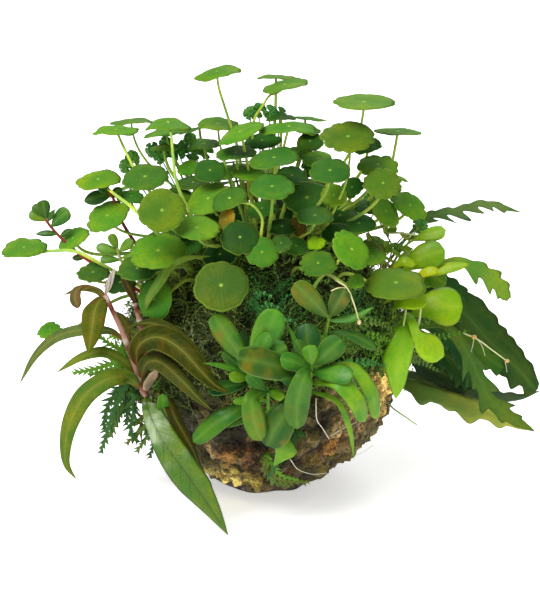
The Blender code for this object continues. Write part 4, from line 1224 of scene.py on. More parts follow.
def add_hairs(growth, route, radius, count, length, tint, rng):
    """Short straight hairs, each a thin closed spike."""
    for _ in range(count):
        place = rng.uniform(0.05, 0.99)
        middle = point_along(route, place)
        along = (point_along(route, min(1.0, place + 0.02)) - point_along(route, place - 0.02)).normalized()
        out = along.orthogonal().normalized()
        out.rotate(Matrix.Rotation(rng.uniform(0, math.tau), 3, along))
        out = (out + along * rng.uniform(-0.2, 0.7)).normalized()
        base = middle + out * radius * 0.8
        side = out.orthogonal().normalized() * 0.035
        ring = [base + side, base + Matrix.Rotation(2.1, 3, out) @ side, base + Matrix.Rotation(4.2, 3, out) @ side]
        loop = growth.loop(ring, [(0.0, 0.0, 0.0)] * 3, tint)
        tip = growth.loop([base + out * length * rng.uniform(0.6, 1.2)], [(0.0, 0.0, 0.0)], tint)[0]
        growth.cap(loop, False)
        growth.faces += [(loop[k], loop[(k + 1) % 3], tip) for k in range(3)]


stem_routes = {}
for name, (spots, joints) in BRONZE_STEMS.items():
    stem_routes[name] = route = rooted_route(spots, 60)
    stem = Growth()

    def stem_radius(share, joints=joints):
        near = min(abs(share - joint) for joint in joints)
        return STEM_RADIUS * (1.32 - 0.42 * share + 0.22 * math.exp(-(near / 0.03) ** 2))

    add_tinted_tube(stem, route, stem_radius, 14, lambda share, joints=joints: tint_of_stem(share, joints))
    add_hairs(stem, route, STEM_RADIUS, 260, 1.1, Tint(0.7, 0.68, 0.6), random.Random(len(spots) + len(joints)))
    if name == "bronze_stem_1":
        for tip, wide in (((115, 267, 36), 2.6), ((110, 274, 37), 1.6)):
            bud = smooth_route([route[-1], route[-1].lerp(seen_at(*tip), 0.4), seen_at(*tip)], 16)
            add_blade(stem, bud, outline("willow", 16, wide, 0.8), way_of((0.2, 1.0, 0.2)), SILVER, PINK,
                      Form(0.5, 0.1, 0.0))
    finish_piece(stem.make(name + "_grown", stem_skin), "pink_stem", name)
    print(name, "is", round(sum((b - a).length for a, b in zip(route, route[1:]))), "mm long")

# %% [markdown]
# ## The long leaves themselves
# One row per leaf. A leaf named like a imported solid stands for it. The others are small leaves, half hidden in
# the photograph, that fill the plants out.

# %% Table of long leaves
Leaf = namedtuple("Leaf", "name kind root spots wide shape face tint blush bare", defaults=(None, 1.0, 0.0))
S1, S2 = "bronze_stem_1", "bronze_stem_2"
GREY_GREEN, TWO_TONE = Tint(0.10, 0.135, 0.030), Tint(0.115, 0.16, 0.014)
FOLDED_LIME = (
    (0, 1.4, 1.4), (0.26, 1.6, 1.6), (0.34, 8, 5), (0.46, 12, 9), (0.62, 12, 15), (0.68, 11, 17), (0.76, 10, 14),
    (0.88, 8, 8), (0.96, 4, 4), (1, 0.6, 0.6),
)
NECKED_LIME = (
    (0, 1.4, 1.4), (0.3, 2, 2), (0.55, 4.2, 4.2), (0.69, 5.2, 5.2), (0.74, 8.5, 8.5), (0.8, 12.8, 12.8),
    (0.865, 14.6, 14.6), (0.925, 13, 13), (0.965, 9.5, 9.5), (0.99, 5, 5), (1, 1, 1),
)
FRONT_WILLOW = (
    (0, 1.2, 1.2), (0.05, 1.6, 1.6), (0.12, 5, 3.4), (0.2, 9.5, 5), (0.28, 13, 6.6), (0.39, 15, 9),
    (0.48, 15.6, 12.4), (0.56, 15.2, 14.6), (0.63, 14.8, 15.4), (0.7, 15, 14.4), (0.745, 14.6, 12.4),
    (0.77, 12.6, 11.2), (0.82, 10.4, 9), (0.87, 8, 6.4), (0.92, 5.4, 4.2), (0.97, 2.4, 1.8), (1, 0.3, 0.3),
)
CURLED_END = (
    (0, 1, 1), (0.42, 1.3, 1.3), (0.58, 2.2, 2.2), (0.7, 5, 5), (0.85, 6.2, 6.2), (0.95, 4.6, 4.6), (1, 1.4, 1.4),
)
LONG_LEAVES = [Leaf(*row) for row in (
    ("bronze_leaf_1_upper", "bronze", (S1, 0.97), ((101, 300, 38), (95, 310, 43), (92, 330, 48), (88, 354, 51)),
     10.4, "willow", (-0.35, 0.8, 0.5), (0.1, 0.093, 0.005)),
    ("bronze_leaf_2_far_left", "bronze", (S1, 0.63),
     ((113, 332, 36), (100, 330, 32), (81, 330, 26), (56, 337, 20), (35, 356, 14), (19, 385, 12)), 5.4, "willow",
     (-0.2, 0.8, 0.8), GREY_GREEN, 0.5),
    ("bronze_leaf_3_left", "bronze", (S1, 0.31), ((122, 360, 42), (104, 352, 44), (81, 357, 42), (56, 373, 38)),
     4.6, "willow", (-0.1, 0.8, 0.8), TWO_TONE),
    ("bronze_leaf_4_drooping", "bronze", (S1, 0.17),
     ((126, 377, 45), (108, 379, 52), (86, 394, 56), (71, 420, 56), (65, 448, 53), (67, 466, 51), (77, 480, 50)),
     8.2, "willow", (-0.3, 0.9, 0.5), TWO_TONE, 0.3),
    ("bronze_leaf_5_behind", "bronze", (S1, 0.59),
     ((130, 328, 40), (150, 323, 44), (172, 332, 51), (192, 349, 56), (212, 372, 60)), 5.6, "willow",
     (0.1, 0.9, 0.5), (0.056, 0.056, 0.006), 1, 0.2),
    ("bronze_leaf_6_right", "bronze", (S1, 0.4),
     ((138, 347, 46), (156, 337, 54), (178, 347, 63), (200, 370, 69), (216, 386, 70), (231, 393, 69)), 10.2,
     "willow", (0, 0.9, 0.5), (0.039, 0.041, 0.002)),
    ("bronze_leaf_7_low_right", "bronze", (S1, 0.27),
     ((146, 364, 46), (160, 362, 55), (182, 381, 65), (199, 399, 69), (213, 411, 70)), 7.4, "willow",
     (0.1, 0.9, 0.5), (0.058, 0.06, 0.008)),
    ("bronze_leaf_8_front_green", "willow", (S1, 0.06),
     ((147, 404, 48), (152, 420, 58), (165, 444, 66), (185, 472, 71), (207, 503, 75), (228, 535, 76)), 13.4,
     FRONT_WILLOW, (0.1, 1, 0.35)),
    ("bronze_curled", "bronze", (S1, 0.95),
     ((98, 290, 33), (88, 286, 33), (78, 289, 36), (75, 297, 38), (78, 308, 39)), 6, CURLED_END, (-0.3, 0.9, 0.3),
     (0.15, 0.08, 0.026)),
    ("bronze_thin_left", "bronze", (S1, 0.93), ((99, 292, 33), (84, 288, 31), (63, 295, 30)), 3.2, "willow",
     (-0.2, 0.6, 0.9), (0.105, 0.095, 0.012)),
    ("bronze_right_upper", "bronze", (S2, 0.9),
     ((142, 312, 34), (149, 297, 42), (160, 281, 46), (172, 264, 46), (188, 258, 46), (212, 256, 46)), 4.4,
     "willow", (0, 0.7, 0.7), (0.1, 0.18, 0.018), 0.2),
    ("bronze_brown_upper", "bronze", (S2, 0.97), ((133, 296, 30), (127, 284, 32), (120, 269, 34)), 3.6, "willow",
     (0.1, 1, 0.3), (0.1, 0.05, 0.015)),
    ("bronze_green_small", "rosette", "ball", ((168, 428, 42), (165, 412, 52), (162, 394, 58)), 5, "spoon",
     (0.1, 1, 0.3), (0.095, 0.24, 0.012), 0),
    ("bronze_dark_sliver", "bronze", (S1, 0.05), ((166, 398, 50), (175, 418, 56), (191, 447, 59), (204, 476, 58)),
     5.4, "willow", (0.5, 0.9, 0.2), (0.042, 0.036, 0.005)),
    ("bronze_pink_underside", "bronze", (S1, 0.12), ((150, 382, 40), (153, 376, 44), (157, 369, 46)), 5.6, "egg",
     (0.4, 0.9, 0.1), (0.6, 0.36, 0.22), 0),
    ("bronze_behind_stem", "bronze", (S2, 0.5), ((130, 330, 26), (122, 318, 24), (112, 310, 22)), 4, "willow",
     (0, 0.9, 0.5), (0.1, 0.1, 0.02)),
    ("bronze_olive_middle", "bronze", (S2, 0.3), ((150, 340, 34), (160, 330, 36), (176, 326, 38)), 3.4, "willow",
     (0.2, 0.8, 0.6), (0.1, 0.13, 0.02)),
    ("lime_leaf_1_upper", "lime", "ball", ((392, 290, 14), (404, 270, 18), (418, 259, 20), (445, 250, 20)), 11,
     "disc", (0, 0.9, 0.5), (0.16, 0.31, 0.006), 1, 0.42),
    ("lime_leaf_2_right", "lime", "ball", ((394, 336, 22), (410, 317, 27), (430, 306, 28), (463, 307, 28)), 16,
     "disc", (0.1, 0.8, 0.6), (0.225, 0.385, 0.005), 1, 0.4),
    ("lime_leaf_3_low_right", "lime", "ball",
     ((398, 334, 21), (407, 313, 32), (412, 322, 40), (419, 338, 40), (444, 356, 37)), 12.4, NECKED_LIME,
     (0.1, 0.8, 0.6), (0.34, 0.56, 0.01)),
    ("lime_leaf_4_drooping", "lime", "ball", ((392, 332, 26), (404, 326, 38), (400, 358, 44), (396, 398, 44)), 13.6,
     FOLDED_LIME, (0.1, 0.9, 0.4), (0.26, 0.5, 0.012)),
    ("lime_fan", "lime", "ball", ((392, 275, 8), (403, 248, 10), (420, 237, 12), (446, 230, 12)), 7, "disc",
     (0.1, 0.6, 0.8), (0.24, 0.4, 0.01), 1, 0.62),
    ("lime_pointing", "lime", "ball", ((398, 290, 14), (422, 275, 20), (446, 268, 22), (469, 264, 22)), 5, "egg",
     (0.1, 0.7, 0.8), (0.3, 0.42, 0.006), 1, 0.5),
    ("lime_yellow", "lime", "ball", ((400, 295, 16), (417, 277, 24), (428, 271, 26), (439, 270, 26)), 4, "disc",
     (0, 0.8, 0.6), (0.4, 0.46, 0.008), 1, 0.55),
    ("lime_small_left", "lime", "ball", ((392, 285, 16), (396, 266, 22), (404, 261, 24), (416, 265, 24)), 4, "disc",
     (0, 0.8, 0.6), (0.28, 0.4, 0.006), 1, 0.5),
    ("lime_crescent", "lime", "ball", ((390, 322, 22), (394, 306, 32), (404, 299, 38), (428, 301, 40)), 8.4, "disc",
     (0, 0.7, 0.7), (0.36, 0.54, 0.006), 1, 0.35),
    ("lime_back", "lime", "ball", ((396, 300, 8), (414, 282, 10), (430, 276, 12), (446, 284, 12)), 8, "disc",
     (0.1, 0.8, 0.5), (0.13, 0.26, 0.008), 1, 0.5),
)]


# %% Growing them
def grow_leaf(leaf):
    kind = KINDS[leaf.kind]
    growth = Growth()
    route = blade_route(leaf.spots, leaf.root, kind.steps, stem_routes)
    seed = leaf.wide + leaf.spots[-1][0] * 0.1
    if isinstance(leaf.shape, tuple):
        halves = halves_in_pixels(leaf.shape, kind.steps)
    else:
        halves = outline(leaf.shape, kind.steps, leaf.wide, 1.1, 0.03, seed, bare=leaf.bare)
    tint = Tint(*(leaf.tint or kind.tint)[:3], leaf.blush)
    add_blade(growth, route, halves, way_of(leaf.face), tint, Tint(*kind.stalk[:3], leaf.blush), kind.form, seed)
    return finish_piece(growth.make(leaf.name + "_grown", kind.skin), kind.slot, *solid_of(leaf.name))


for leaf in LONG_LEAVES:
    piece = grow_leaf(leaf)
print("long leaves:", len(LONG_LEAVES), "triangles of the last:", triangles_of(piece))

# %% [markdown]
# ## The fronds
# A frond is a blade whose edge runs out into fingers that lean toward the tip. A leaf grown in rows can do that
# if its rows lean forward too: then a finger is no more than a few rows in a line that reach further out. Each
# frond's blade is given by its half widths in pixels at a few shares of its length, above and below the midrib.

# %% Table of fronds
Frond = namedtuple("Frond", "name spots body fingers rake face tint turn", defaults=(9.0,))


def every(first, step, count, hand, reach, run):
    """Fingers in a row: where the first stands, how far apart they are, and how they dwindle."""
    return tuple((first + step * k, hand, reach * (1.0 - 0.1 * k), run) for k in range(count))


ABOVE, BELOW = 0, 1
FRONDS = [Frond(*row) for row in (
    ("lobed_leaf_1_top",
     ((392, 262, -14), (408, 236, -14), (429, 217, -12), (455, 211, -10), (485, 204, -8), (520, 212, -6)),
     ((0, 1, 1), (0.36, 2, 2), (0.46, 3.6, 3), (0.7, 3.2, 2.6), (0.9, 2.6, 2.6), (1, 0.4, 0.4)),
     ((0.42, BELOW, 8, 0.08), (0.51, BELOW, 12.5, 0.075), (0.605, BELOW, 10.5, 0.07), (0.695, BELOW, 8.5, 0.07),
      (0.785, BELOW, 6, 0.07), (0.87, BELOW, 3.2, 0.07)) + every(0.44, 0.1, 5, ABOVE, 2, 0.09),
     1.3, (0.1, 1, 0.35), (0.105, 0.165, 0.042)),
    ("lobed_leaf_2_upper",
     ((404, 286, 8), (430, 268, 8), (453, 261, 8), (474, 268, 8), (494, 281, 8), (508, 298, 8)),
     ((0, 1, 1), (0.42, 1.2, 1.5), (0.55, 5, 4), (0.7, 7.5, 6), (0.86, 7.5, 7), (0.95, 6, 6), (1, 2.5, 2.5)),
     ((0.46, BELOW, 8, 0.06), (0.65, BELOW, 9, 0.1), (0.78, BELOW, 7.5, 0.09), (0.89, BELOW, 3, 0.07),
      (0.67, ABOVE, 3, 0.1), (0.78, ABOVE, 4.2, 0.09), (0.88, ABOVE, 3, 0.08)),
     0.9, (0.2, 1, 0.5), (0.15, 0.27, 0.024)),
    ("lobed_leaf_3_arch",
     ((404, 316, -16), (430, 297, -14), (460, 310, -14), (488, 340, -14), (515, 366, -12), (536, 390, -12)),
     ((0, 2, 2), (0.22, 12, 12), (0.42, 22, 22), (0.6, 21, 22), (0.78, 16, 17), (0.9, 12, 10), (0.97, 7, 7),
      (1, 2, 2)),
     every(0.34, 0.085, 7, ABOVE, 2.4, 0.085) + ((0.84, BELOW, 6, 0.09), (0.95, BELOW, 5, 0.07)), 0.5,
     (0.2, 0.9, 0.4), (0.041, 0.086, 0.012)),
    ("lobed_leaf_4_bottom",
     ((399, 380, -10), (425, 392, -6), (459, 404, -6), (482, 412, -6), (511, 422, -8), (530, 430, -8)),
     ((0, 2, 2), (0.15, 8, 7), (0.5, 11, 8), (0.75, 10, 7), (0.92, 6, 4), (1, 0.5, 0.5)),
     ((0.24, BELOW, 7, 0.12), (0.42, BELOW, 3, 0.1), (0.55, BELOW, 8, 0.16), (0.76, BELOW, 4, 0.12)), 0.5,
     (0, 0.8, 0.6), (0.44, 0.46, 0.07), 1.4),
    ("lobed_leaf_5_front",
     ((404, 330, 2), (440, 324, 6), (461, 342, 8), (475, 368, 8), (488, 396, 8), (509, 416, 8), (534, 431, 6)),
     ((0, 2, 2), (0.2, 5, 6), (0.38, 7, 9), (0.55, 7, 8), (0.75, 7, 7), (0.9, 4.5, 4.5), (1, 0.5, 0.5)),
     ((0.4, BELOW, 11, 0.1), (0.52, BELOW, 4, 0.07), (0.64, BELOW, 7, 0.08), (0.76, BELOW, 3, 0.07),
      (0.46, ABOVE, 5, 0.08), (0.58, ABOVE, 9, 0.09), (0.72, ABOVE, 8, 0.09), (0.84, ABOVE, 3, 0.07)),
     1.3, (0.3, 0.9, 0.4), (0.1, 0.17, 0.018)),
    ("frond_dark_inner", ((398, 335, -4), (430, 345, -6), (455, 362, -6), (478, 388, -6)),
     ((0, 3, 3), (0.3, 12, 12), (0.7, 14, 14), (1, 1, 1)),
     every(0.3, 0.13, 5, BELOW, 6, 0.11) + every(0.35, 0.13, 4, ABOVE, 5, 0.11), 0.8, (0.2, 0.9, 0.4),
     (0.018, 0.055, 0.009)),
    ("frond_dark_low", ((398, 352, -8), (428, 366, -12), (455, 378, -12), (482, 384, -12)),
     ((0, 3, 3), (0.3, 13, 13), (0.7, 15, 15), (1, 1, 1)), every(0.3, 0.13, 5, ABOVE, 6, 0.11), 0.8,
     (0.1, 0.9, 0.4), (0.016, 0.034, 0.01)),
    ("frond_green_inner", ((400, 322, -8), (440, 330, -10), (472, 347, -10), (503, 368, -10)),
     ((0, 2, 2), (0.4, 8, 9), (0.7, 8, 10), (0.92, 6, 8), (1, 1, 1)),
     every(0.4, 0.13, 5, BELOW, 5, 0.12) + every(0.35, 0.13, 5, ABOVE, 3, 0.12), 0.8, (0.2, 0.9, 0.4),
     (0.06, 0.145, 0.012)),
    # The grey tint of this band is a painted sheen: the pale reflection along the top of the bottom frond.
    ("frond_low_band", ((398, 372, -16), (455, 388, -16), (497, 397, -16), (522, 397, -16), (539, 391, -15)),
     ((0, 2, 2), (0.3, 9, 9), (0.7, 6, 6), (0.85, 4, 3), (1, 0.5, 0.5)), every(0.6, 0.1, 3, ABOVE, 2, 0.09), 0.6,
     (0.1, 0.9, 0.5), (0.13, 0.17, 0.08)),
    ("frond_dark_upper", ((400, 300, -18), (432, 284, -16), (452, 290, -16), (470, 306, -16)),
     ((0, 2, 2), (0.4, 11, 11), (0.8, 9, 9), (1, 1, 1)), every(0.4, 0.13, 4, ABOVE, 3, 0.12), 0.6, (0.2, 0.9, 0.4),
     (0.022, 0.07, 0.009)),
    ("frond_middle_green", ((396, 318, 0), (425, 322, 0), (452, 340, 2), (468, 368, 2), (467, 386, 2)),
     ((0, 2, 2), (0.4, 8, 9), (0.7, 7, 8), (1, 1, 1)),
     every(0.4, 0.13, 4, ABOVE, 4, 0.12) + every(0.4, 0.13, 4, BELOW, 5, 0.12), 1, (0.2, 0.9, 0.4),
     (0.032, 0.105, 0.022)),
)]


# %% Growing the fronds
def frond_halves(frond, steps):
    halves = []
    for step in range(steps + 1):
        t = step / steps
        pair = []
        for hand in (ABOVE, BELOW):
            half = between(frond.body, t, 1 + hand)
            half *= 1.0 + 0.10 * noise.noise(Vector((t * 17, hand * 5.0, frond.body[2][1])))
            for at, side, reach, run in frond.fingers:
                if side == hand:
                    near = max(0.0, 1.0 - abs(t - at) / (run * 0.55))
                    half += reach * (near * near * (3 - 2 * near)) ** 0.7
            pair.append(half * MM_PER_PIXEL)
        halves.append(pair)
    return halves


FROND_STEPS = 110
for number, frond in enumerate(FRONDS):
    growth = Growth()
    route = blade_route(frond.spots, "ball", FROND_STEPS, {})
    form = Form(0.05, 0.10, 0.06, 3.0, 0.30, 0.06, frond.rake, 6, frond.turn)
    add_blade(growth, route, frond_halves(frond, FROND_STEPS), way_of(frond.face), Tint(*frond.tint[:3], 1.0),
              KINDS["lobed"].stalk, form, number * 1.7)
    frond_piece = finish_piece(growth.make(frond.name + "_grown", lobed_skin), "lobed_leaf", *solid_of(frond.name))
print("fronds:", len(FRONDS), "triangles of the last:", triangles_of(frond_piece))

# %% [markdown]
# ## The green rosettes
# At the front, short pale stems carry spoon-shaped leaves, some with an orange blush toward the tip. Each
# sprig is one piece, as its solid is: the stem first, then every leaf from its place on the stem.

# %% The sprigs
SPRIG_RADIUS = 0.95
Spoon = namedtuple("Spoon", "spots wide start tint face shape", defaults=((0, 0.9, 0.4), "spoon"))
BLUSHED, OLIVE_SPOON = Tint(0.085, 0.20, 0.010, 1.0), Tint(0.044, 0.112, 0.010, 0.9)
DARK_SPOON, LIGHT_SPOON = Tint(0.026, 0.11, 0.014, 0.0), Tint(0.155, 0.33, 0.012, 0.0)
PLAIN_SPOON, MID_SPOON = Tint(0.058, 0.205, 0.011, 0.0), Tint(0.045, 0.15, 0.012, 0.2)
# For each sprig the stem, then its leaves: spots up to the tip, width, where on the stem or at which spot the
# leaf starts, tint, and facing and shape where they aren't those of most leaves
TRIANGLE_SPOON = (
    (0, 2, 2), (0.3, 6, 6), (0.5, 14, 8), (0.58, 13, 7), (0.75, 7, 4), (1, 0.6, 0.6),
)
SPRIGS = (
    ("rosette_sprig_1_left", ((250, 386, 57), (250, 366, 64)), (
        (((213, 314, 66),), 9, 1, BLUSHED, (-0.3, 0.9, 0.4)),
        (((277, 309, 64),), 11.6, 1, Tint(0.108, 0.3, 0.015, 0.2), (0.3, 0.9, 0.4)),
        (((203, 363, 70),), 2.8, 0.6, PLAIN_SPOON, (0, 0.7, 0.7), "willow"),
        (((287, 346, 67),), 9, 1, MID_SPOON, (0.1, 0.9, 0.4)),
        (((270, 333, 69),), 6, 1, PLAIN_SPOON, (0.1, 0.9, 0.4)),
        (((208, 392, 68),), 6.4, 0.2, DARK_SPOON, (-0.1, 0.7, 0.7)),
        (((229, 377, 70),), 4.4, 0.5, LIGHT_SPOON, (-0.1, 0.9, 0.5)), (((262, 326, 60),), 6, 1, DARK_SPOON),
        (((240, 330, 60),), 5, 0.8, DARK_SPOON), (((222, 352, 62),), 4.4, 0.6, MID_SPOON),
    )),
    ("rosette_sprig_2_middle", ((312, 396, 57), (312, 366, 67)), (
        (((280, 359, 72),), 7.4, 0.9, PLAIN_SPOON, (0, 0.8, 0.6)), (((309, 345, 72),), 6.4, 1, LIGHT_SPOON),
        (((342, 339, 68),), 9, 1, MID_SPOON, (0.1, 0.9, 0.4)),
        (((353, 377, 74),), 8.2, 0.8, PLAIN_SPOON, (0.1, 0.8, 0.6)),
        (((236, 358, 80),), 12.2, 0.6, OLIVE_SPOON, (-0.1, 0.8, 0.6)),
        (((338, 382, 73), (356, 400, 75), (365, 422, 72)), 7.6, 0.4, LIGHT_SPOON, (0.3, 0.8, 0.5)),
        (((306, 323, 58),), 10.4, 0.7, DARK_SPOON, (-0.1, 0.9, 0.4)),
        (((287, 323, 60),), 2.6, 0.7, PLAIN_SPOON, (-0.1, 0.9, 0.4), "willow"),
        (((281, 380, 74),), 7, 0.6, DARK_SPOON, (-0.1, 0.8, 0.6)),
        (((352, 368, 66), (371, 392, 69), (377, 419, 66)), 6.4, 0.7, LIGHT_SPOON, (0.5, 0.8, 0.3)),
        (((338, 402, 66), (350, 430, 66), (354, 460, 62)), 2.4, 0.1, LIGHT_SPOON, (0.1, 0.9, 0.4), "willow"),
        (((330, 351, 66),), 4.4, 0.9, LIGHT_SPOON, (0.2, 0.9, 0.4)), (((296, 340, 66),), 5, 0.8, MID_SPOON),
        (((304, 378, 78), (297, 404, 76), (297, 429, 74)), 9.4, 0.9, Tint(0.055, 0.165, 0.011, 0.3), (0, 1, 0.3)),
    )),
    ("rosette_sprig_3_low", ((268, 412, 53), (268, 388, 62)), (
        (((226, 416, 66), (193, 442, 66)), 7.8, 0.6, Tint(0.052, 0.165, 0.011, 0), (0, 0.8, 0.6)),
        (((252, 400, 72), (254, 420, 74), (261, 441, 74)), 8.4, 0.9, BLUSHED),
        (((282, 418, 72), (266, 446, 72)), 13.2, (300, 391, 68), OLIVE_SPOON, (-0.1, 0.9, 0.4)),
        (((284, 446, 64), (274, 466, 62)), 8.6, (281, 428, 60), LIGHT_SPOON, (0.2, 0.9, 0.3), TRIANGLE_SPOON),
        (((233, 402, 68),), 3.4, 0.6, LIGHT_SPOON, (0, 0.8, 0.6)), (((284, 398, 72),), 4, 0.9, LIGHT_SPOON),
        (((247, 374, 70),), 5, 0.8, PLAIN_SPOON), (((226, 428, 60),), 3, 0.3, MID_SPOON, (0, 0.9, 0.4), "willow"),
    )),
    ("rosette_sprig_4_upper", ((329, 342, 55), (329, 318, 60)), (
        (((294, 283, 66),), 8.6, 1, Tint(0.088, 0.155, 0.008, 1), (-0.2, 0.9, 0.5)),
        (((345, 289, 62),), 7.6, 1, Tint(0.055, 0.1, 0.01, 1), (0.2, 0.9, 0.5)),
        (((352, 318, 60), (374, 307, 58)), 3.4, 0.9, PLAIN_SPOON, (0, 0.7, 0.8), "willow"),
        (((350, 334, 58), (376, 348, 56)), 5, 0.5, MID_SPOON, (0.1, 0.8, 0.7)),
        (((314, 346, 62),), 2.8, 0.4, LIGHT_SPOON, (0, 0.8, 0.6), "willow"),
    )),
)


SPOON_STEPS = 24


def add_spoon(growth, base, spots, wide, shape, face, tint):
    """A leaf from its base through the spots to its tip; with the tip alone it bows toward the side it faces."""
    points = [seen_at(*spot) for spot in spots]
    if len(points) == 1:
        lift = way_of(face) * (points[0] - base).length * 0.09
        points = [base.lerp(points[0], 0.3) + lift, base.lerp(points[0], 0.7) + lift * 0.9, points[0]]
    route = smooth_route([base] + points, SPOON_STEPS)
    if isinstance(shape, tuple):
        halves = halves_in_pixels(shape, SPOON_STEPS)
    else:
        halves = outline(shape, SPOON_STEPS, wide, 1.1, 0.03, wide + route[-1].x)
    kind = KINDS["rosette"]
    add_blade(growth, route, halves, way_of(face), tint, mixed(tint, kind.stalk, 0.7), kind.form, wide)


for name, stem_spots, leaves in SPRIGS:
    sprig = Growth()
    route = rooted_route(stem_spots, 20)
    add_tube(sprig, route, lambda share: SPRIG_RADIUS * (1.0 - 0.35 * share), 12, Tint(0.17, 0.33, 0.025, 0.0))
    for row in leaves:
        spots, wide, start, tint, face, shape = Spoon(*row)
        base = seen_at(*start) if isinstance(start, tuple) else point_along(route, 0.15 + 0.85 * start)
        add_spoon(sprig, base, spots, wide, shape, face, tint)
    finish_piece(sprig.make(name + "_grown", rosette_skin), "rosette_leaf", name)
print("sprigs:", len(SPRIGS), "leaves:", sum(len(row[2]) for row in SPRIGS))

# %% [markdown]
# ## Small plants and twigs
# Two thin red stems with small leaves reach out at the left, a pale small plant sits under the pennywort there,
# and six thin twigs rise at the right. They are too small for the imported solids, and are grown the way the
# sprigs are.

# %% Red stems and their leaves
RED_STEM = Tint(0.30, 0.035, 0.015, 0.0)
FOREST, LIMEY = Tint(0.038, 0.110, 0.010, 0.0), Tint(0.12, 0.23, 0.013, 0.2)
SMALL_PLANTS = (
    ("red_stem_sprig", ((100, 270, 18), (86, 259, 14), (70, 246, 11), (59, 236, 9), (51, 227, 8),
     (45, 219, 8)), RED_STEM, (
        ((29, 213, 8), (47, 221, 8), 4.8, "spoon", LIMEY), ((42, 200, 8), (46, 220, 8), 5.4, "spoon", FOREST),
        ((33, 205, 7), (46, 218, 8), 4, "spoon", FOREST), ((55, 209, 9), (48, 221, 8), 2.4, "willow", FOREST),
        ((69, 210, 9), (51, 227, 8), 6.4, "spoon", Tint(0.055, 0.16, 0.015, 0)),
        ((35, 234, 9), (57, 234, 9), 2.8, "willow", FOREST), ((72, 229, 9), (60, 237, 9), 2.6, "egg", FOREST),
        ((78, 242, 11), (68, 246, 11), 3, "egg", LIMEY), ((72, 258, 13), (84, 258, 13), 2.8, "egg", FOREST),
    )),
    ("red_stem_upper", ((126, 246, 12), (122, 222, 10), (114, 200, 8), (108, 190, 7)), RED_STEM, (
        ((84, 201, 7), (111, 195, 7), 6, "egg", FOREST), ((98, 184, 7), (109, 193, 7), 4.4, "egg", FOREST),
        ((122, 188, 6), (112, 197, 7), 4.2, "egg", FOREST), ((104, 214, 9), (116, 204, 8), 4, "spoon", LIMEY),
    )),
    ("pale_small_plant", ((128, 278, 26), (122, 262, 26), (117, 248, 26)), Tint(0.3, 0.34, 0.1, 0), (
        ((96, 247, 26), (119, 252, 26), 4.2, "spoon", Tint(0.12, 0.24, 0.02, 0)),
        ((110, 234, 26), (118, 250, 26), 3.8, "spoon", LIMEY),
        ((133, 240, 26), (119, 252, 26), 4.2, "spoon", LIMEY),
        ((100, 260, 28), (121, 260, 26), 3.4, "spoon", Tint(0.08, 0.2, 0.02, 0)),
        ((140, 256, 28), (121, 258, 26), 3.6, "spoon", Tint(0.11, 0.23, 0.015, 0)),
    )),
)
TWIG, TWIG_LEAF = Tint(0.32, 0.27, 0.05, 0.0), Tint(0.24, 0.34, 0.02, 0.3)
TWIGS = (
    ((398, 266, 10), (384, 252, 8), (372, 240, 6), (366, 224, 2)),
    ((398, 266, 10), (392, 248, 8), (386, 234, 4), (377, 217, 2)),
    ((400, 266, 10), (402, 250, 8), (410, 240, 4), (418, 227, 2)),
    ((402, 266, 12), (412, 252, 8), (424, 247, 6), (434, 240, 4)),
    ((396, 268, 12), (400, 256, 10), (396, 246, 8), (405, 235, 8)),
    ((392, 268, 12), (380, 260, 12), (368, 250, 10), (356, 238, 8)),
)
twig_leaves = random.Random(5)
for spots in TWIGS:
    leaves = []
    for k in range(4):
        x, y, z = spots[min(len(spots) - 1, 1 + k // 2)]
        base = (x + twig_leaves.uniform(-3, 3), y + twig_leaves.uniform(-3, 3), z)
        tip = (base[0] + twig_leaves.uniform(-11, 11), base[1] - twig_leaves.uniform(-3, 9), z + 2)
        leaves.append((tip, base, twig_leaves.uniform(2.2, 3.6), "spoon", TWIG_LEAF))
    SMALL_PLANTS += (("twig_" + str(len(SMALL_PLANTS)), spots, TWIG, tuple(leaves)),)
for name, spots, stem_tint, leaves in SMALL_PLANTS:
    small = Growth()
    route = rooted_route(spots, 24)
    thick = 0.42 if stem_tint is TWIG else 0.85
    add_tube(small, route, lambda share: thick * (1.0 - 0.35 * share), 8, stem_tint)
    for tip, base, wide, shape, tint in leaves:
        add_spoon(small, seen_at(*base), (tip,), wide, shape, (0.1, 0.8, 0.6), tint)
    finish_piece(small.make(name, rosette_skin), "rosette_leaf")
print("small plants:", len(SMALL_PLANTS))

# %% [markdown]
# ## Moss strands
# The moss is thousands of thin strands, some bare threads and some set with tiny leaflets, lying over each
# other in all directions. Geometry Nodes scatter them: four strands are built in the tree, points are spread
# over the bed by a density note, and each point picks a strand, a turn, a tilt and a size.


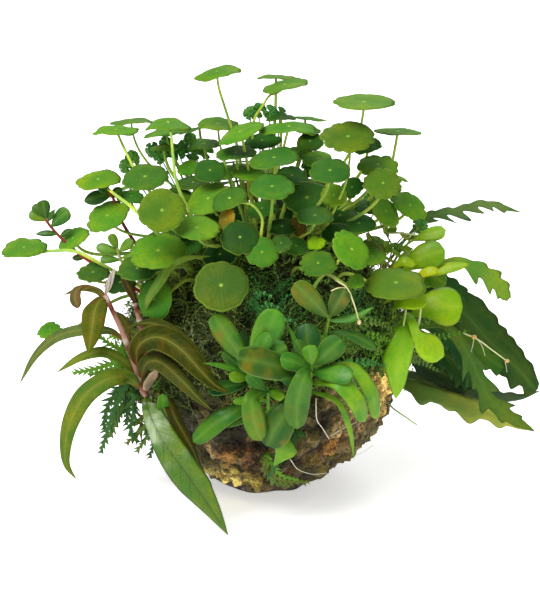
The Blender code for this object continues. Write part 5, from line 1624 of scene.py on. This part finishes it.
# %% The tree that scatters strands
def strand(tree, given, seed, leafy):
    """One wandering strand that starts along Z, as a thin tube with or without leaflets."""
    line = wire(tree, "GeometryNodeCurvePrimitiveLine", {"Start": (0.0, 0.0, 0.0), "End": (0.0, 0.0, 1.0)})
    line = wire(tree, "GeometryNodeResampleCurve", {"Curve": line, "Count": 7})
    share = wire(tree, "GeometryNodeSplineParameter")
    where = wire(tree, "ShaderNodeCombineXYZ", {0: share, 1: float(seed), 2: seed * 2.7})
    drift = node(tree, "ShaderNodeTexNoise", {"Vector": where, "Scale": 2.1, "Detail": 1.0}).outputs["Color"]
    drift = wire(tree, "ShaderNodeVectorMath", {0: drift, 1: (0.5, 0.5, 0.5)}, operation="SUBTRACT")
    reach = times(share, given["Wander"], given["Length"])
    drift = wire(tree, "ShaderNodeVectorMath", {0: drift, "Scale": reach}, operation="SCALE")
    bow = times(share, share, times(given["Length"], 0.45))
    spot = wire(tree, "ShaderNodeCombineXYZ", {0: bow, 2: times(share, given["Length"])})
    spot = wire(tree, "ShaderNodeVectorMath", {0: spot, 1: drift}, operation="ADD")
    line = wire(tree, "GeometryNodeSetPosition", {"Geometry": line, "Position": spot})
    ring = wire(tree, "GeometryNodeCurvePrimitiveCircle", {"Resolution": 3, "Radius": 1.0})
    taper = times(minus(1.1, share), given["Thread"])
    tube = wire(tree, "GeometryNodeCurveToMesh", {"Curve": line, "Profile Curve": ring, "Fill Caps": True,
                                                  "Scale": taper})
    if not leafy:
        return tube
    spots = node(tree, "GeometryNodeCurveToPoints", {"Curve": line, "Count": 9}, mode="COUNT")
    spin = node(tree, "FunctionNodeRandomValue", {2: 0.0, 3: math.tau, "Seed": seed}, data_type="FLOAT").outputs[1]
    spin = wire(tree, "ShaderNodeCombineXYZ", {2: spin})
    spin = wire(tree, "FunctionNodeEulerToRotation", {0: spin})
    turned = wire(tree, "FunctionNodeRotateRotation", {0: spots.outputs["Rotation"], 1: spin},
                  rotation_space="LOCAL")
    tilt = wire(tree, "FunctionNodeEulerToRotation", {0: (0.0, math.radians(48.0), 0.0)})
    turned = wire(tree, "FunctionNodeRotateRotation", {0: turned, 1: tilt}, rotation_space="LOCAL")
    leaflet = wire(tree, "GeometryNodeMeshCone", {
        "Vertices": 3, "Radius Top": 0.0, "Radius Bottom": given["Leaflet Width"], "Depth": given["Leaflet"]})
    leaflets = wire(tree, "GeometryNodeInstanceOnPoints", {"Points": spots.outputs["Points"], "Instance": leaflet,
                                                           "Rotation": turned})
    joined = node(tree, "GeometryNodeJoinGeometry")
    tree.links.new(tube, joined.inputs[0])
    tree.links.new(leaflets, joined.inputs[0])
    return wire(tree, "GeometryNodeRealizeInstances", {0: joined.outputs[0]})


def moss_tree():
    tree, given = start_tree("moss_strands", {
        "Length": "number", "Thread": "number", "Leaflet": "number", "Leaflet Width": "number", "Wander": "number",
        "Per Area": "number", "Least Tilt": "number", "Most Tilt": "number", "Leafy Share": "number",
        "Seed": "whole", "Material": "material"})
    density = wire(tree, "GeometryNodeInputNamedAttribute", {"Name": "density"}, data_type="FLOAT")
    points = node(tree, "GeometryNodeDistributePointsOnFaces", {
        "Mesh": given["Geometry"], "Density": times(density, given["Per Area"]), "Seed": given["Seed"]})
    kinds = [strand(tree, given, seed, leafy) for seed, leafy in ((1, False), (5, False), (9, True), (14, True))]
    choice = node(tree, "GeometryNodeGeometryToInstance")
    for made in reversed(kinds):
        tree.links.new(made, choice.inputs[0])

    def random_number(low, high, offset):
        return node(tree, "FunctionNodeRandomValue", {2: low, 3: high, "Seed": plus(given["Seed"], offset)},
                    data_type="FLOAT").outputs[1]

    leafy = calc("LESS_THAN", random_number(0.0, 1.0, 3.0), given["Leafy Share"])
    other = calc("GREATER_THAN", random_number(0.0, 1.0, 4.0), 0.5)
    pick = plus(times(leafy, 2.0), other)
    spin = wire(tree, "ShaderNodeCombineXYZ", {2: random_number(0.0, math.tau, 5.0)})
    tilt = wire(tree, "ShaderNodeCombineXYZ", {1: random_number(given["Least Tilt"], given["Most Tilt"], 6.0)})
    turned = points.outputs["Rotation"]
    for step in (spin, tilt):
        step = wire(tree, "FunctionNodeEulerToRotation", {0: step})
        turned = wire(tree, "FunctionNodeRotateRotation", {0: turned, 1: step}, rotation_space="LOCAL")
    placed = wire(tree, "GeometryNodeInstanceOnPoints",
                  {"Points": points.outputs["Points"], "Instance": choice.outputs[0], "Pick Instance": True,
                   "Instance Index": pick, "Rotation": turned, "Scale": random_number(0.55, 1.3, 7.0)})
    own = wire(tree, "GeometryNodeInputNamedAttribute", {"Name": "tint"}, data_type="FLOAT_COLOR")
    shade = calc("POWER", random_number(0.5, 1.9, 8.0), 1.6)
    shaded = wire(tree, "ShaderNodeVectorMath", {0: own, "Scale": shade}, operation="SCALE")
    placed = noted(tree, placed, "tint", shaded, "FLOAT_COLOR", "INSTANCE")
    end_tree(tree, placed, given["Material"])
    return tree


strand_tree = moss_tree()
print("moss tree:", len(strand_tree.nodes), "nodes")

# %% [markdown]
# ## Where the moss is dark, olive or blue-green
# The tint of the moss is set by the picture: near black on the left, blue-green in the middle below the leaves,
# and deep green at the right. Away from the viewer it drifts between olive and green by noise.


# %% Sheets that carry the strands
def pixel_of(point):
    """The pixel at which a point in millimetres is seen, and how far it stands toward the eye."""
    away = point - LOOK_AT
    depth = away.dot(TO_EYE)
    scale = EYE_DISTANCE / (EYE_DISTANCE - depth) / MM_PER_PIXEL
    return MIDDLE_PX + away.dot(PICTURE_RIGHT) * scale, MIDDLE_PY - away.dot(PICTURE_UP) * scale, depth


MOSSES = {
    "black": Tint(0.072, 0.09, 0.034), "brown": Tint(0.11, 0.1, 0.03), "olive": Tint(0.12, 0.155, 0.02),
    "teal": Tint(0.045, 0.205, 0.045), "green": Tint(0.11, 0.27, 0.016), "bright": Tint(0.2, 0.44, 0.018),
    "pine": Tint(0.105, 0.195, 0.032), "fir": Tint(0.03, 0.1, 0.02), "grey": Tint(0.3, 0.3, 0.22),
}
MOSS_SPOTS = (
    (190, 330, 42, "black"), (195, 375, 40, "black"), (175, 300, 28, "olive"), (262, 300, 26, "teal"),
    (285, 320, 24, "teal"), (240, 270, 26, "pine"), (300, 280, 24, "black"), (330, 300, 24, "pine"),
    (372, 330, 26, "pine"), (365, 360, 24, "green"), (385, 360, 20, "green"), (345, 395, 22, "grey"),
    (240, 330, 20, "brown"), (222, 398, 20, "brown"), (300, 245, 30, "black"), (350, 310, 20, "teal"),
)


def moss_tint(point):
    drift = noise.noise(point * 0.05)
    tint = mixed(MOSSES["olive"], MOSSES["green"], 0.5 + 0.6 * drift)
    tint = mixed(tint, MOSSES["black"], clamp(0.35 + 1.2 * noise.noise(point * 0.09 + Vector((9, 2, 4)))))
    px, py, depth = pixel_of(point)
    if depth > 0:
        for x, y, reach, name in MOSS_SPOTS:
            gap = math.hypot(px - x, py - y) / reach + 0.4 * noise.noise(point * 0.2)
            tint = mixed(tint, MOSSES[name], clamp(1.5 - gap * 1.3))
    return tint


def note_sheet(mesh, density_at, tint_at):
    densities = mesh.attributes.new("density", "FLOAT", "POINT")
    tints = mesh.attributes.new("tint", "FLOAT_COLOR", "POINT")
    for k, vertex in enumerate(mesh.vertices):
        densities.data[k].value = density_at(vertex.co / MM)
        tints.data[k].color = tuple(tint_at(vertex.co / MM))


def moss_sheet(name, from_deg, to_deg, density_at):
    """The outer skin of the bed between two angles round the ball, as a sheet to scatter on."""
    downs, rounds = 26, int(abs(to_deg - from_deg) / 5)
    points, faces = [], []
    for i in range(downs + 1):
        for k in range(rounds + 1):
            turn = from_deg + (to_deg - from_deg) * k / rounds
            points.append(bed_point(max(0.02, i / downs), turn, BED_DEPTH * 0.7) * MM)
    for i in range(downs):
        for k in range(rounds):
            a = i * (rounds + 1) + k
            faces.append((a, a + rounds + 1, a + rounds + 2, a + 1))
    mesh = bpy.data.meshes.new(name)
    mesh.from_pydata(points, [], faces)
    note_sheet(mesh, density_at, moss_tint)
    return put_in_scene(name, mesh)


# Where the tan chip shows at the right and how far it reaches, and the row above which leaves hide the bed
CHIP_PX, CHIP_PY, CHIP_REACH = 391, 384, 24
HIDDEN_PY = 215


def moss_density(point):
    """Loose strands are dense where the bed is seen, and thin out where leaves hide it."""
    px, py, depth = pixel_of(point)
    if depth > 0 and math.hypot(px - CHIP_PX, py - CHIP_PY) < CHIP_REACH:
        return 0.04
    return 0.3 if depth > 0 and py < HIDDEN_PY else 1.0


STRANDS = {"Length": 10.0 * MM, "Thread": 0.16 * MM, "Leaflet": 1.5 * MM, "Leaflet Width": 0.3 * MM, "Wander": 0.7,
           "Per Area": 420000.0, "Least Tilt": math.radians(42), "Most Tilt": math.radians(90), "Leafy Share": 0.75,
           "Material": moss_strand_skin}
for number, (start, stop, share) in enumerate(((-150, -60, 1.0), (-60, 30, 1.0), (30, 120, 0.6), (120, 210, 0.6))):
    sheet = moss_sheet("moss_strands_" + str(number + 1), start, stop,
                       lambda point, share=share: moss_density(point) * share)
    values = dict(STRANDS, Seed=11 + number)
    moss = finish_piece(grow(sheet, strand_tree, values), "moss")
    print(moss.name, "triangles:", triangles_of(moss))

# %% [markdown]
# ## Feathery moss, jagged moss and lacy plants
# Some moss grows out as feathers: an axis, side branches that lean forward, and leaflets on each, all made of
# short closed spikes. Some hangs or stands out as narrow blades with pointed teeth. Behind the pennywort stand
# lacy plants, whose leaves are cut into rounded lobes.


# %% A feather of spikes
def add_spike(growth, base, tip, wide, tint, face):
    """A closed leaflet: flat, widest before its middle, and pointed at both ends."""
    along = (tip - base).normalized()
    side = along.cross(face).normalized()
    up = side.cross(along)
    middle = base.lerp(tip, 0.4)
    thick = up * wide * 0.3
    spots = [base, middle + side * wide, tip, middle - side * wide, middle + thick, middle - thick]
    a, b, c, d, top, low = growth.loop(spots, [(0.5, 0.0, 0.0)] * 6, tint)
    growth.faces += [(a, b, top), (b, c, top), (c, d, top), (d, a, top), (b, a, low), (c, b, low), (d, c, low),
                     (a, d, low)]


LEAFLETS = 4
AXIS_RADIUS = 0.3
BRANCH_WIDE, LEAFLET_WIDE = 0.6, 0.39
FIBRE = Tint(0.03, 0.05, 0.01)


def add_feather(growth, route, reach, pairs, face, tint, rng):
    """An axis with pairs of side branches that lean forward, and leaflets on each branch."""
    add_tube(growth, route, lambda share: AXIS_RADIUS - 0.2 * share, 5, mixed(tint, FIBRE, 0.4))
    for i in range(pairs):
        t = (i + 0.7) / (pairs + 0.7)
        point = point_along(route, t)
        along = (point_along(route, min(1.0, t + 0.04)) - point_along(route, max(0.0, t - 0.04))).normalized()
        side = along.cross(face).normalized()
        up = side.cross(along)
        length = reach * min(1.0, 4.0 * t + 0.3) * (1.15 - t)
        for hand in (-1, 1):
            way = along * rng.uniform(0.45, 0.8) + side * hand * 0.8 + up * rng.uniform(-0.25, 0.25)
            way.normalize()
            tip = point + way * length * rng.uniform(0.45, 1.25)
            shade = mixed(tint, Tint(tint.red * 1.5, tint.green * 1.5, tint.blue * 1.3), rng.random())
            add_spike(growth, point, tip, BRANCH_WIDE, shade, up)
            cross = way.cross(up).normalized()
            for j in range(LEAFLETS):
                spot = point.lerp(tip, (j + 0.8) / (LEAFLETS + 0.4))
                for over in (-1, 1):
                    lean = (way * 0.6 + cross * over * 0.7 + up * rng.uniform(-0.4, 0.4)).normalized()
                    add_spike(growth, spot, spot + lean * length * 0.42, LEAFLET_WIDE, shade, up)


# %% A jagged blade
def add_jagged(growth, spots, reach, teeth, face, tint, rng):
    """A narrow blade whose edges run out into pointed teeth, first one side and then the other."""
    steps = 5 * teeth
    lengths = [[reach * rng.uniform(0.45, 1.0) for _ in range(teeth + 2)] for _ in range(2)]
    halves = []
    for step in range(steps + 1):
        t = step / steps
        narrow = min(1.0, 6.0 * t) * (1.05 - 0.6 * t)
        pair = []
        for hand in (0, 1):
            place = t * teeth + 0.5 * hand
            near = 1.0 - abs(2.0 * (place % 1.0) - 1.0)
            pair.append(narrow * (0.16 * reach + lengths[hand][int(place)] * near ** 1.3))
        halves.append(pair)
    route = blade_route(spots, "ball", steps, {})
    form = Form(0.25, 0.1, 0.3, 5.0, 0.35, 0.0, 1.2, 4)
    add_blade(growth, route, halves, way_of(face), tint, mixed(tint, FIBRE, 0.5), form, reach)


# %% Where feathers, jagged blades and lacy plants stand
# Route, reach of the teeth, teeth on a side, facing, tint
HANGING = (
    (((128, 384, 22), (118, 402, 24), (110, 424, 25), (105, 440, 24), (101, 452, 22)), 5, 12, (-0.3, 1, 0.2),
     "fir"),
    (((134, 386, 20), (124, 404, 21), (116, 420, 22), (110, 436, 21)), 4.8, 10, (0.3, 1, 0.2), "pine"),
    (((126, 386, 18), (113, 398, 19), (106, 412, 19), (104, 428, 19)), 4.2, 9, (-0.1, 1, 0.3), "fir"),
    (((140, 388, 18), (128, 400, 18), (121, 412, 18), (116, 426, 18)), 4.4, 9, (0.1, 1, 0.2), "fir"),
)
JAGGED = (
    (((130, 362, 16), (112, 364, 16), (92, 370, 16), (74, 373, 16)), 4.2, 11, (0, 0.9, 0.5), "green"),
    (((130, 366, 16), (110, 370, 14), (90, 375, 14)), 3.8, 9, (0.2, 0.8, 0.5), "green"),
    (((134, 360, 20), (120, 350, 20), (108, 343, 20), (97, 334, 20)), 4, 10, (0, 0.9, 0.5), "green"),
    (((138, 352, 24), (130, 346, 26), (115, 355, 28)), 3.6, 8, (0, 0.9, 0.4), "green"),
    (((132, 350, 18), (124, 340, 18), (110, 336, 18)), 3.6, 8, (0.1, 0.9, 0.4), "bright"),
    (((138, 378, 18), (124, 376, 18), (112, 380, 18)), 3.6, 8, (0.1, 0.9, 0.4), "pine"),
    (((136, 392, 22), (129, 408, 22), (126, 424, 22)), 4.2, 8, (-0.2, 1, 0.3), "fir"),
    (((142, 396, 24), (134, 414, 24), (131, 430, 24), (137, 442, 24)), 4.6, 9, (0, 1, 0.3), "fir"),
    (((150, 415, 20), (142, 429, 20), (127, 443, 20)), 3.8, 8, (-0.2, 1, 0.2), "olive"),
    (((156, 420, 20), (147, 436, 20), (137, 451, 20)), 3.8, 8, (0.2, 1, 0.2), "pine"),
    (((160, 424, 20), (154, 440, 20), (150, 457, 20)), 3.4, 8, (-0.2, 1, 0.2), "fir"),
    (((264, 464, 52), (272, 474, 48), (287, 481, 44), (308, 482, 40)), 3.4, 11, (0, 1, 0.2), "olive"),
    (((268, 462, 52), (280, 474, 48), (298, 480, 42)), 2.8, 9, (0, 1, 0.2), "green"),
    (((264, 468, 52), (272, 480, 46), (288, 485, 42)), 2.8, 8, (0, 1, 0.2), "pine"),
    (((285, 452, 56), (276, 464, 54), (270, 476, 50)), 3.2, 8, (0, 1, 0.2), "fir"),
    (((300, 440, 58), (288, 450, 58), (276, 456, 57)), 4.2, 8, (0, 1, 0.2), "fir"),
)
# Route, reach of the branches, pairs of branches, facing, tint
TUFTS = (
    (((250, 300, 56), (262, 292, 60), (275, 300, 62)), 3.2, 10, (0, 0.9, 0.5), "teal"),
    (((258, 318, 60), (268, 304, 64), (284, 310, 64)), 3.2, 10, (0, 0.9, 0.5), "teal"),
    (((270, 325, 60), (285, 318, 64), (300, 326, 62)), 3, 10, (0, 0.9, 0.5), "teal"),
    (((340, 350, 54), (360, 345, 54), (384, 352, 48)), 3.4, 14, (0.1, 0.9, 0.5), "pine"),
    (((345, 372, 56), (362, 362, 56), (388, 366, 46)), 3.2, 14, (0.1, 0.9, 0.5), "teal"),
    (((352, 330, 50), (370, 322, 50), (394, 330, 40)), 3.2, 14, (0.1, 0.9, 0.5), "pine"),
    (((352, 342, 54), (372, 336, 52), (392, 342, 44)), 3.4, 14, (0.1, 0.9, 0.5), "green"),
    (((396, 330, 30), (416, 322, 24), (440, 318, 16), (462, 322, 12)), 3.2, 16, (0.2, 0.9, 0.4), "pine"),
    (((398, 344, 28), (420, 338, 22), (446, 336, 14), (470, 330, 10)), 3.2, 16, (0.2, 0.9, 0.4), "green"),
    (((396, 356, 28), (418, 360, 20), (440, 372, 14)), 3.2, 14, (0.2, 0.9, 0.4), "pine"),
    (((386, 372, 36), (404, 360, 30), (424, 352, 20)), 3.4, 12, (0.2, 0.9, 0.4), "pine"),
)
# Pixel, distance toward the viewer, reach in millimetres
LACY = (
    (152, 150, -20, 3.4), (160, 156, -18, 3.2), (170, 150, -22, 3.2), (178, 152, -22, 3.4), (186, 146, -24, 3.4),
    (193, 153, -22, 3.4), (200, 146, -24, 3.2), (206, 152, -24, 3), (190, 139, -24, 2.8), (132, 158, -14, 3.4),
    (126, 166, -14, 3), (250, 113, -26, 3), (259, 110, -26, 3.2), (270, 112, -26, 3.2), (280, 113, -26, 3),
    (166, 143, -20, 2.8), (310, 168, -14, 4), (392, 190, -12, 4), (372, 200, -10, 4), (420, 226, -10, 3.4),
)


def add_frill(growth, centre, reach, face, tint, rng):
    """A leaf cut into rounded lobes all round, each one cut again, with openings between them."""
    side = Vector((0, 0, 1)).cross(face).normalized()
    up = face.cross(side)
    start = rng.uniform(0, math.tau)
    for k in range(7):
        turn = start + math.tau * k / 7.6 + rng.uniform(-0.15, 0.15)
        way = (side * math.cos(turn) + up * math.sin(turn) + face * rng.uniform(-0.25, 0.25)).normalized()
        tip = centre + way * reach * rng.uniform(0.75, 1.0)
        route = smooth_route([centre, centre.lerp(tip, 0.5) + face * reach * 0.1, tip], 9)
        add_blade(growth, route, outline("disc", 9, reach * 0.62, 0.8), face, tint, tint,
                  Form(0.0, 0.3, 0.2, 2.0, 0.24, 0.03, 0.0, 4), turn)
        for hand in (-0.6, 0.6):
            lobe_way = (way + way.cross(face) * hand).normalized()
            base = centre.lerp(tip, 0.6)
            lobe = [base, base + lobe_way * reach * 0.25, base + lobe_way * reach * 0.52]
            add_blade(growth, smooth_route(lobe, 6), outline("disc", 6, reach * 0.46, 0.6), face, tint, tint,
                      Form(0.0, 0.2, 0.1, 1.0, 0.22, 0.03, 0.0, 4), hand)


rng = random.Random(7)
hanging = Growth()
for spots, reach, teeth, face, tint in HANGING:
    add_jagged(hanging, spots, reach, teeth, face, MOSSES[tint], rng)
finish_piece(hanging.make("hanging_moss_grown", moss_strand_skin), "moss", "hanging_moss")
tufts = Growth()
for spots, reach, teeth, face, tint in JAGGED:
    add_jagged(tufts, spots, reach, teeth, face, MOSSES[tint], rng)
for spots, reach, pairs, face, tint in TUFTS:
    add_feather(tufts, blade_route(spots, "ball", 20, {}), reach, pairs, way_of(face), MOSSES[tint], rng)
tuft_piece = finish_piece(tufts.make("feathery_moss", moss_strand_skin), "moss")
lace = Growth()
shade = Tint(0.095, 0.300, 0.040, 0.0)
for px, py, toward, reach in LACY:
    centre = seen_at(px, py, toward)
    way = way_to(centre)
    base = on_ground(way)
    stalk = smooth_route([base - way * 1.5, base.lerp(centre, 0.5) + way * 2, centre], 12)
    add_tube(lace, stalk, lambda share: AXIS_RADIUS, 5, shade)
    add_frill(lace, centre, reach, way_of((rng.uniform(-0.4, 0.4), 1.0, rng.uniform(0.1, 0.6))), shade, rng)
lace_piece = finish_piece(lace.make("lacy_plants", rosette_skin), "moss")
print("tufts:", triangles_of(tuft_piece), "lace:", triangles_of(lace_piece), "triangles")

# %% [markdown]
# ## Roots
# Thin white and cream roots hang over the crust from the rosettes, and a cream stalk with a bud leans over the
# moss at the right. They are the palest lines in the picture, so they are made one by one.

# %% Roots and thin stalks
# Spots, radius in millimetres, tint
WHITE_ROOT, CREAM_STALK, GREEN_STALK = Tint(0.62, 0.58, 0.44), Tint(0.55, 0.52, 0.20), Tint(0.20, 0.36, 0.05)
THREADS = (
    (((316, 398, 62), (316, 409, 64), (317, 420, 62), (323, 429, 58), (329, 439, 54)), 0.22, WHITE_ROOT),
    (((290, 459, 50), (299, 470, 44), (312, 474, 42), (327, 473, 38)), 0.18, WHITE_ROOT),
    (((331, 436, 52), (344, 428, 52), (357, 422, 50)), 0.12, WHITE_ROOT),
    (((373, 445, 38), (365, 451, 38), (357, 455, 38)), 0.12, WHITE_ROOT),
    (((329, 273, 52), (337, 281, 56), (347, 288, 60), (355, 307, 62), (359, 322, 60)), 0.34, CREAM_STALK),
    (((331, 291, 62), (338, 288, 62), (347, 288, 60)), 0.26, CREAM_STALK),
    (((388, 403, 26), (394, 409, 32), (404, 416, 35), (417, 425, 36)), 0.36, GREEN_STALK),
    (((386, 233, 4), (400, 233, 8), (421, 236, 11)), 0.5, Tint(0.45, 0.55, 0.18)),
    (((403, 330, 38), (405, 316, 38), (407, 304, 36)), 0.42, Tint(0.45, 0.55, 0.12)),
    (((416, 332, 32), (419, 320, 33), (421, 305, 33)), 0.6, Tint(0.48, 0.58, 0.16)),
    (((463, 333, 10), (477, 339, 12), (492, 350, 12), (507, 361, 10)), 0.36, Tint(0.5, 0.56, 0.26)),
    (((474, 338, 10), (473, 344, 10), (471, 352, 9)), 0.14, WHITE_ROOT),
    (((476, 338, 10), (482, 346, 10), (485, 356, 9)), 0.14, WHITE_ROOT),
    (((505, 361, 8), (506, 366, 8), (507, 372, 8)), 0.14, WHITE_ROOT),
)
BUDS = (
    ((359, 322, 60), 0.8, 1.5, Tint(0.6, 0.5, 0.25)), ((474, 337, 12), 1.1, 0.8, Tint(0.55, 0.26, 0.03)),
    ((507, 361, 10), 1, 0.8, Tint(0.5, 0.28, 0.06)),
)
roots = Growth()
for spots, radius, tint in THREADS:
    route = smooth_route([seen_at(*spot) for spot in spots], 16)
    add_tube(roots, route, lambda share: radius * (1.05 - 0.3 * share), 6, tint)
for spot, radius, stretch, tint in BUDS:
    middle = seen_at(*spot)
    down = Vector((0.1, 0.0, -1.0)).normalized() * radius * stretch
    add_tube(roots, [middle + down * (k / 4 - 1) for k in range(9)],
             lambda share: radius * math.sqrt(max(0.02, 1 - (2 * share - 1) ** 2)), 8, tint)
root_piece = finish_piece(roots.make("roots_and_stalks", root_skin), "rosette_leaf")
print("roots and stalks:", len(THREADS), "triangles:", triangles_of(root_piece))

# %% [markdown]
# ## Light, floor and camera
# The photograph is a cut-out on white, lit softly from above and a little from the left. A pale floor runs out
# of view on all sides and the surroundings are bright. A large soft light at the upper left, another behind and
# a broad sun give the leaves their shape.

# %% The camera
def aim(made, target):
    made.rotation_euler = (target - made.location).to_track_quat("-Z", "Y").to_euler()


view_data = bpy.data.cameras.new("eye")
view_data.sensor_fit = "VERTICAL"
view_data.sensor_height = 36.0
PICTURE_HIGH = 600
view_data.lens = view_data.sensor_height * EYE_DISTANCE / (PICTURE_HIGH * MM_PER_PIXEL)
view_data.clip_start = 0.01
eye = put_in_scene("eye", view_data)
eye.location = (LOOK_AT + TO_EYE * EYE_DISTANCE) * MM
aim(eye, LOOK_AT * MM)
bpy.context.scene.camera = eye
print("focal length in mm:", round(view_data.lens, 1))


# %% The light
def soft_light(name, place, size, power, colour=(1.0, 1.0, 1.0)):
    data = bpy.data.lights.new(name, "AREA")
    data.size = size
    data.energy = power
    data.color = colour
    made = put_in_scene(name, data)
    made.location = place
    aim(made, Vector((0.0, 0.0, 0.08)))


soft_light("key", Vector((-0.45, -0.55, 0.95)), 0.5, 7.0, (1.0, 0.99, 0.95))
soft_light("back", Vector((0.2, 0.9, 0.8)), 0.6, 4.0)
sky_data = bpy.data.lights.new("high_sun", "SUN")
sky_data.energy = 2.1
sky_data.angle = math.radians(40.0)
sky_light = put_in_scene("high_sun", sky_data)
sky_light.location = Vector((-0.5, -0.5, 1.6))
aim(sky_light, Vector((0.0, 0.0, 0.0)))
world = bpy.data.worlds.new("pale room")
world.use_nodes = True
world.node_tree.nodes["Background"].inputs["Color"].default_value = (1.0, 1.0, 1.0, 1.0)
world.node_tree.nodes["Background"].inputs["Strength"].default_value = 0.55
bpy.context.scene.world = world
bpy.context.scene.view_settings.view_transform = "Standard"

floor_material, floor_tree = start_material("pale_floor")
floor_where = node(floor_tree, "ShaderNodeTexCoord").outputs["Object"]
floor_colour = blend_colours(noise_value(floor_where, 3.0), (0.93, 0.93, 0.93), (0.96, 0.96, 0.96))
floor_skin = node(floor_tree, "ShaderNodeBsdfPrincipled",
                  {"Base Color": floor_colour, "Roughness": 0.9, "Emission Color": (1.0, 1.0, 1.0, 1.0),
                   "Emission Strength": 0.5})
node(floor_tree, "ShaderNodeOutputMaterial", {0: floor_skin.outputs[0]})
FLOOR_HALF = 6.0
floor_mesh = bpy.data.meshes.new("floor")
floor_corners = [(x * FLOOR_HALF, y * FLOOR_HALF, -0.0002) for x, y in ((-1, -1), (1, -1), (1, 1), (-1, 1))]
floor_mesh.from_pydata(floor_corners, [], [(0, 1, 2, 3)])
floor_mesh.materials.append(floor_material)
floor = put_in_scene("floor", floor_mesh)
floor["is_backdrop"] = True

# %% Sizes, and the end
low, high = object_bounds()
print("pieces made:", len(made_pieces), "triangles:", sum(triangles_of(p) for p in made_pieces))
print("visual box in mm:", [round(v / MM, 1) for v in low], [round(v / MM, 1) for v in high])
